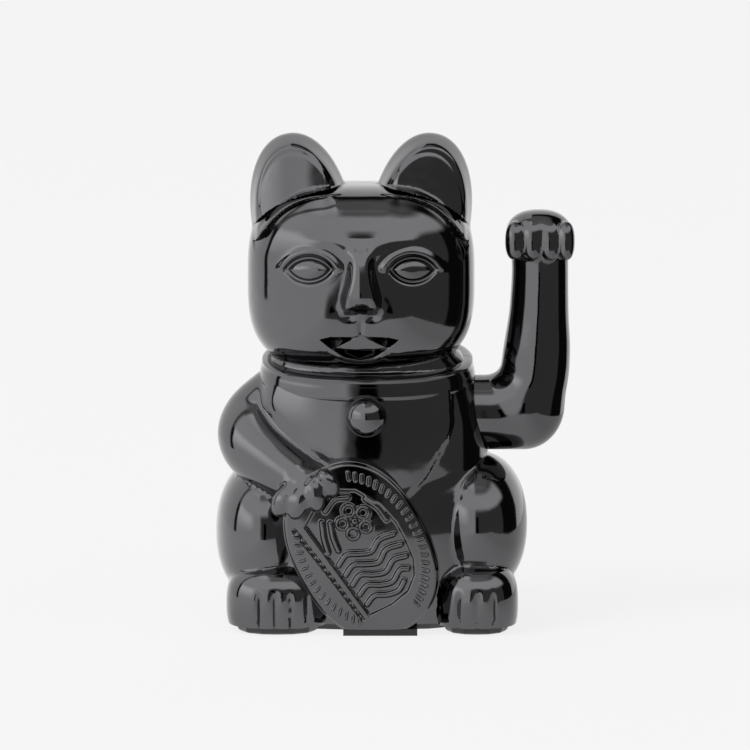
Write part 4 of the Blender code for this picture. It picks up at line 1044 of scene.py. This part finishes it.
PALE = (0.922, 0.922, 0.922)
floor = stage_plane("floor", (0, 1000, 0), (8000, 8000))
floor.data.materials.append(glow("floor_pale", PALE, 0.90, (0.08, 0.08, 0.08)))
floor.visible_glossy = False


def hide_from_camera(piece):
    piece.visible_camera = False
    piece.visible_diffuse = False
    piece.visible_shadow = False


table = stage_plane("table_top", (-235, 95, -0.5), (930, 790))
# The table is painted light: it glows though it is no lamp, brighter on the left and darker towards the
# right as the key light falls, and only mirrors see it.
made = Finish("table_painted_light", Roughness=0.9, Specular_IOR_Level=0.0, Base_Color=(0, 0, 0))
made.wear(Emission_Strength=1.0)
across_table = made.node("SeparateXYZ", Vector=made.node("TexCoord", output=3))
share = made.node("MapRange", Value=across_table, From_Min=-0.12, From_Max=0.12, To_Min=0.0, To_Max=1.0)
tone = made.node("ValToRGB", {"stops": [(0.0, (1.1, 1.1, 1.1)), (1.0, (0.62, 0.62, 0.62))]}, Fac=share)
table.data.materials.append(made.wear(Emission_Color=tone))
hide_from_camera(table)
stand = stage_plane("camera_stand", (0, -620, 90), (70, 260), (90, 0, 0))
stand.data.materials.append(glow("stand_black", (0, 0, 0), 0.0))
hide_from_camera(stand)

# %% Room and lights
world = bpy.data.worlds.new("studio")
bpy.context.scene.world = world
world.use_nodes = True
tree = world.node_tree
tree.nodes.clear()


def world_node(kind, **sockets):
    node = tree.nodes.new("ShaderNode" + kind)
    for label, value in sockets.items():
        socket = node.inputs[label.replace("_", " ")]
        if isinstance(value, Wire):
            value = value.socket
        if isinstance(value, bpy.types.NodeSocket):
            tree.links.new(value, socket)
        else:
            socket.default_value = value
    return node


def step(value, low, high):
    """0 where a value is under low and 1 over high, on a soft slope."""
    node = world_node("MapRange", Value=value, From_Min=low, From_Max=high)
    node.interpolation_type = "SMOOTHSTEP"
    return Wire(node.outputs["Result"])


direction = world_node("SeparateXYZ", Vector=world_node("TexCoord").outputs["Generated"])
rightward, away, upward = (Wire(direction.outputs[axis]) for axis in "XYZ")
left = 1 - step(rightward, -0.19, -0.07)
front = 1 - step(away - left * 0.22, -0.20, -0.14)
behind = step(away + left * 0.40, 0.55, 0.63)
overhead = step(upward, 0.43, 0.58) * (1 - step(upward, 0.84, 0.95)) * (1 - step(away, 0.0, 0.2))
zenith = step(upward, 0.88, 0.98)
glow_core = step(rightward * -1.0, 0.35, 0.75) * step(upward, 0.0, 0.40) * (1 - step(upward, 0.60, 0.90))
walls = 0.14 + left * (0.95 + glow_core * 0.9)
level = front * walls * (1 - overhead) + behind + overhead * 1.25 + zenith * 0.4 + 0.015
room = world_node("Background", Color=(1, 1, 1, 1), Strength=level)
backdrop = world_node("Background", Color=(*PALE, 1), Strength=1.0)
seen = world_node("LightPath")
mix = world_node("MixShader", Fac=seen.outputs["Is Camera Ray"])
tree.links.new(room.outputs[0], mix.inputs[1])
tree.links.new(backdrop.outputs[0], mix.inputs[2])
tree.links.new(mix.outputs[0], tree.nodes.new("ShaderNodeOutputWorld").inputs[0])


def panel(name, place, aim, size, power):
    light = bpy.data.lights.new(name, "AREA")
    light.shape = "RECTANGLE"
    light.size, light.size_y = size[0] * MM, size[1] * MM
    light.energy = power
    piece = bpy.data.objects.new(name, light)
    bpy.context.collection.objects.link(piece)
    piece.location = Vector(place) * MM
    piece.rotation_euler = (Vector(aim) - Vector(place)).to_track_quat("-Z", "Y").to_euler()
    piece.visible_camera = False
    piece.visible_glossy = False
    return piece


panel("key_panel", (-1500, -900, 1900), (0, 0, 60), (900, 900), 26.0)

# %% Camera
ELEVATION = math.radians(8.0)
LENS = 300.0
SENSOR = 36.0
FRAME_WIDTH = 228.8
AIM = Vector((1.2, 0, 74.6))
camera_data = bpy.data.cameras.new("camera")
camera_data.lens = LENS
camera_data.sensor_width = SENSOR
camera = bpy.data.objects.new("camera", camera_data)
bpy.context.collection.objects.link(camera)
back = Vector((0, -math.cos(ELEVATION), math.sin(ELEVATION)))
camera.location = (AIM + back * (FRAME_WIDTH * LENS / SENSOR)) * MM
camera.rotation_euler = (-back).to_track_quat("-Z", "Y").to_euler()
bpy.context.scene.camera = camera
bpy.context.scene.view_settings.view_transform = "Standard"
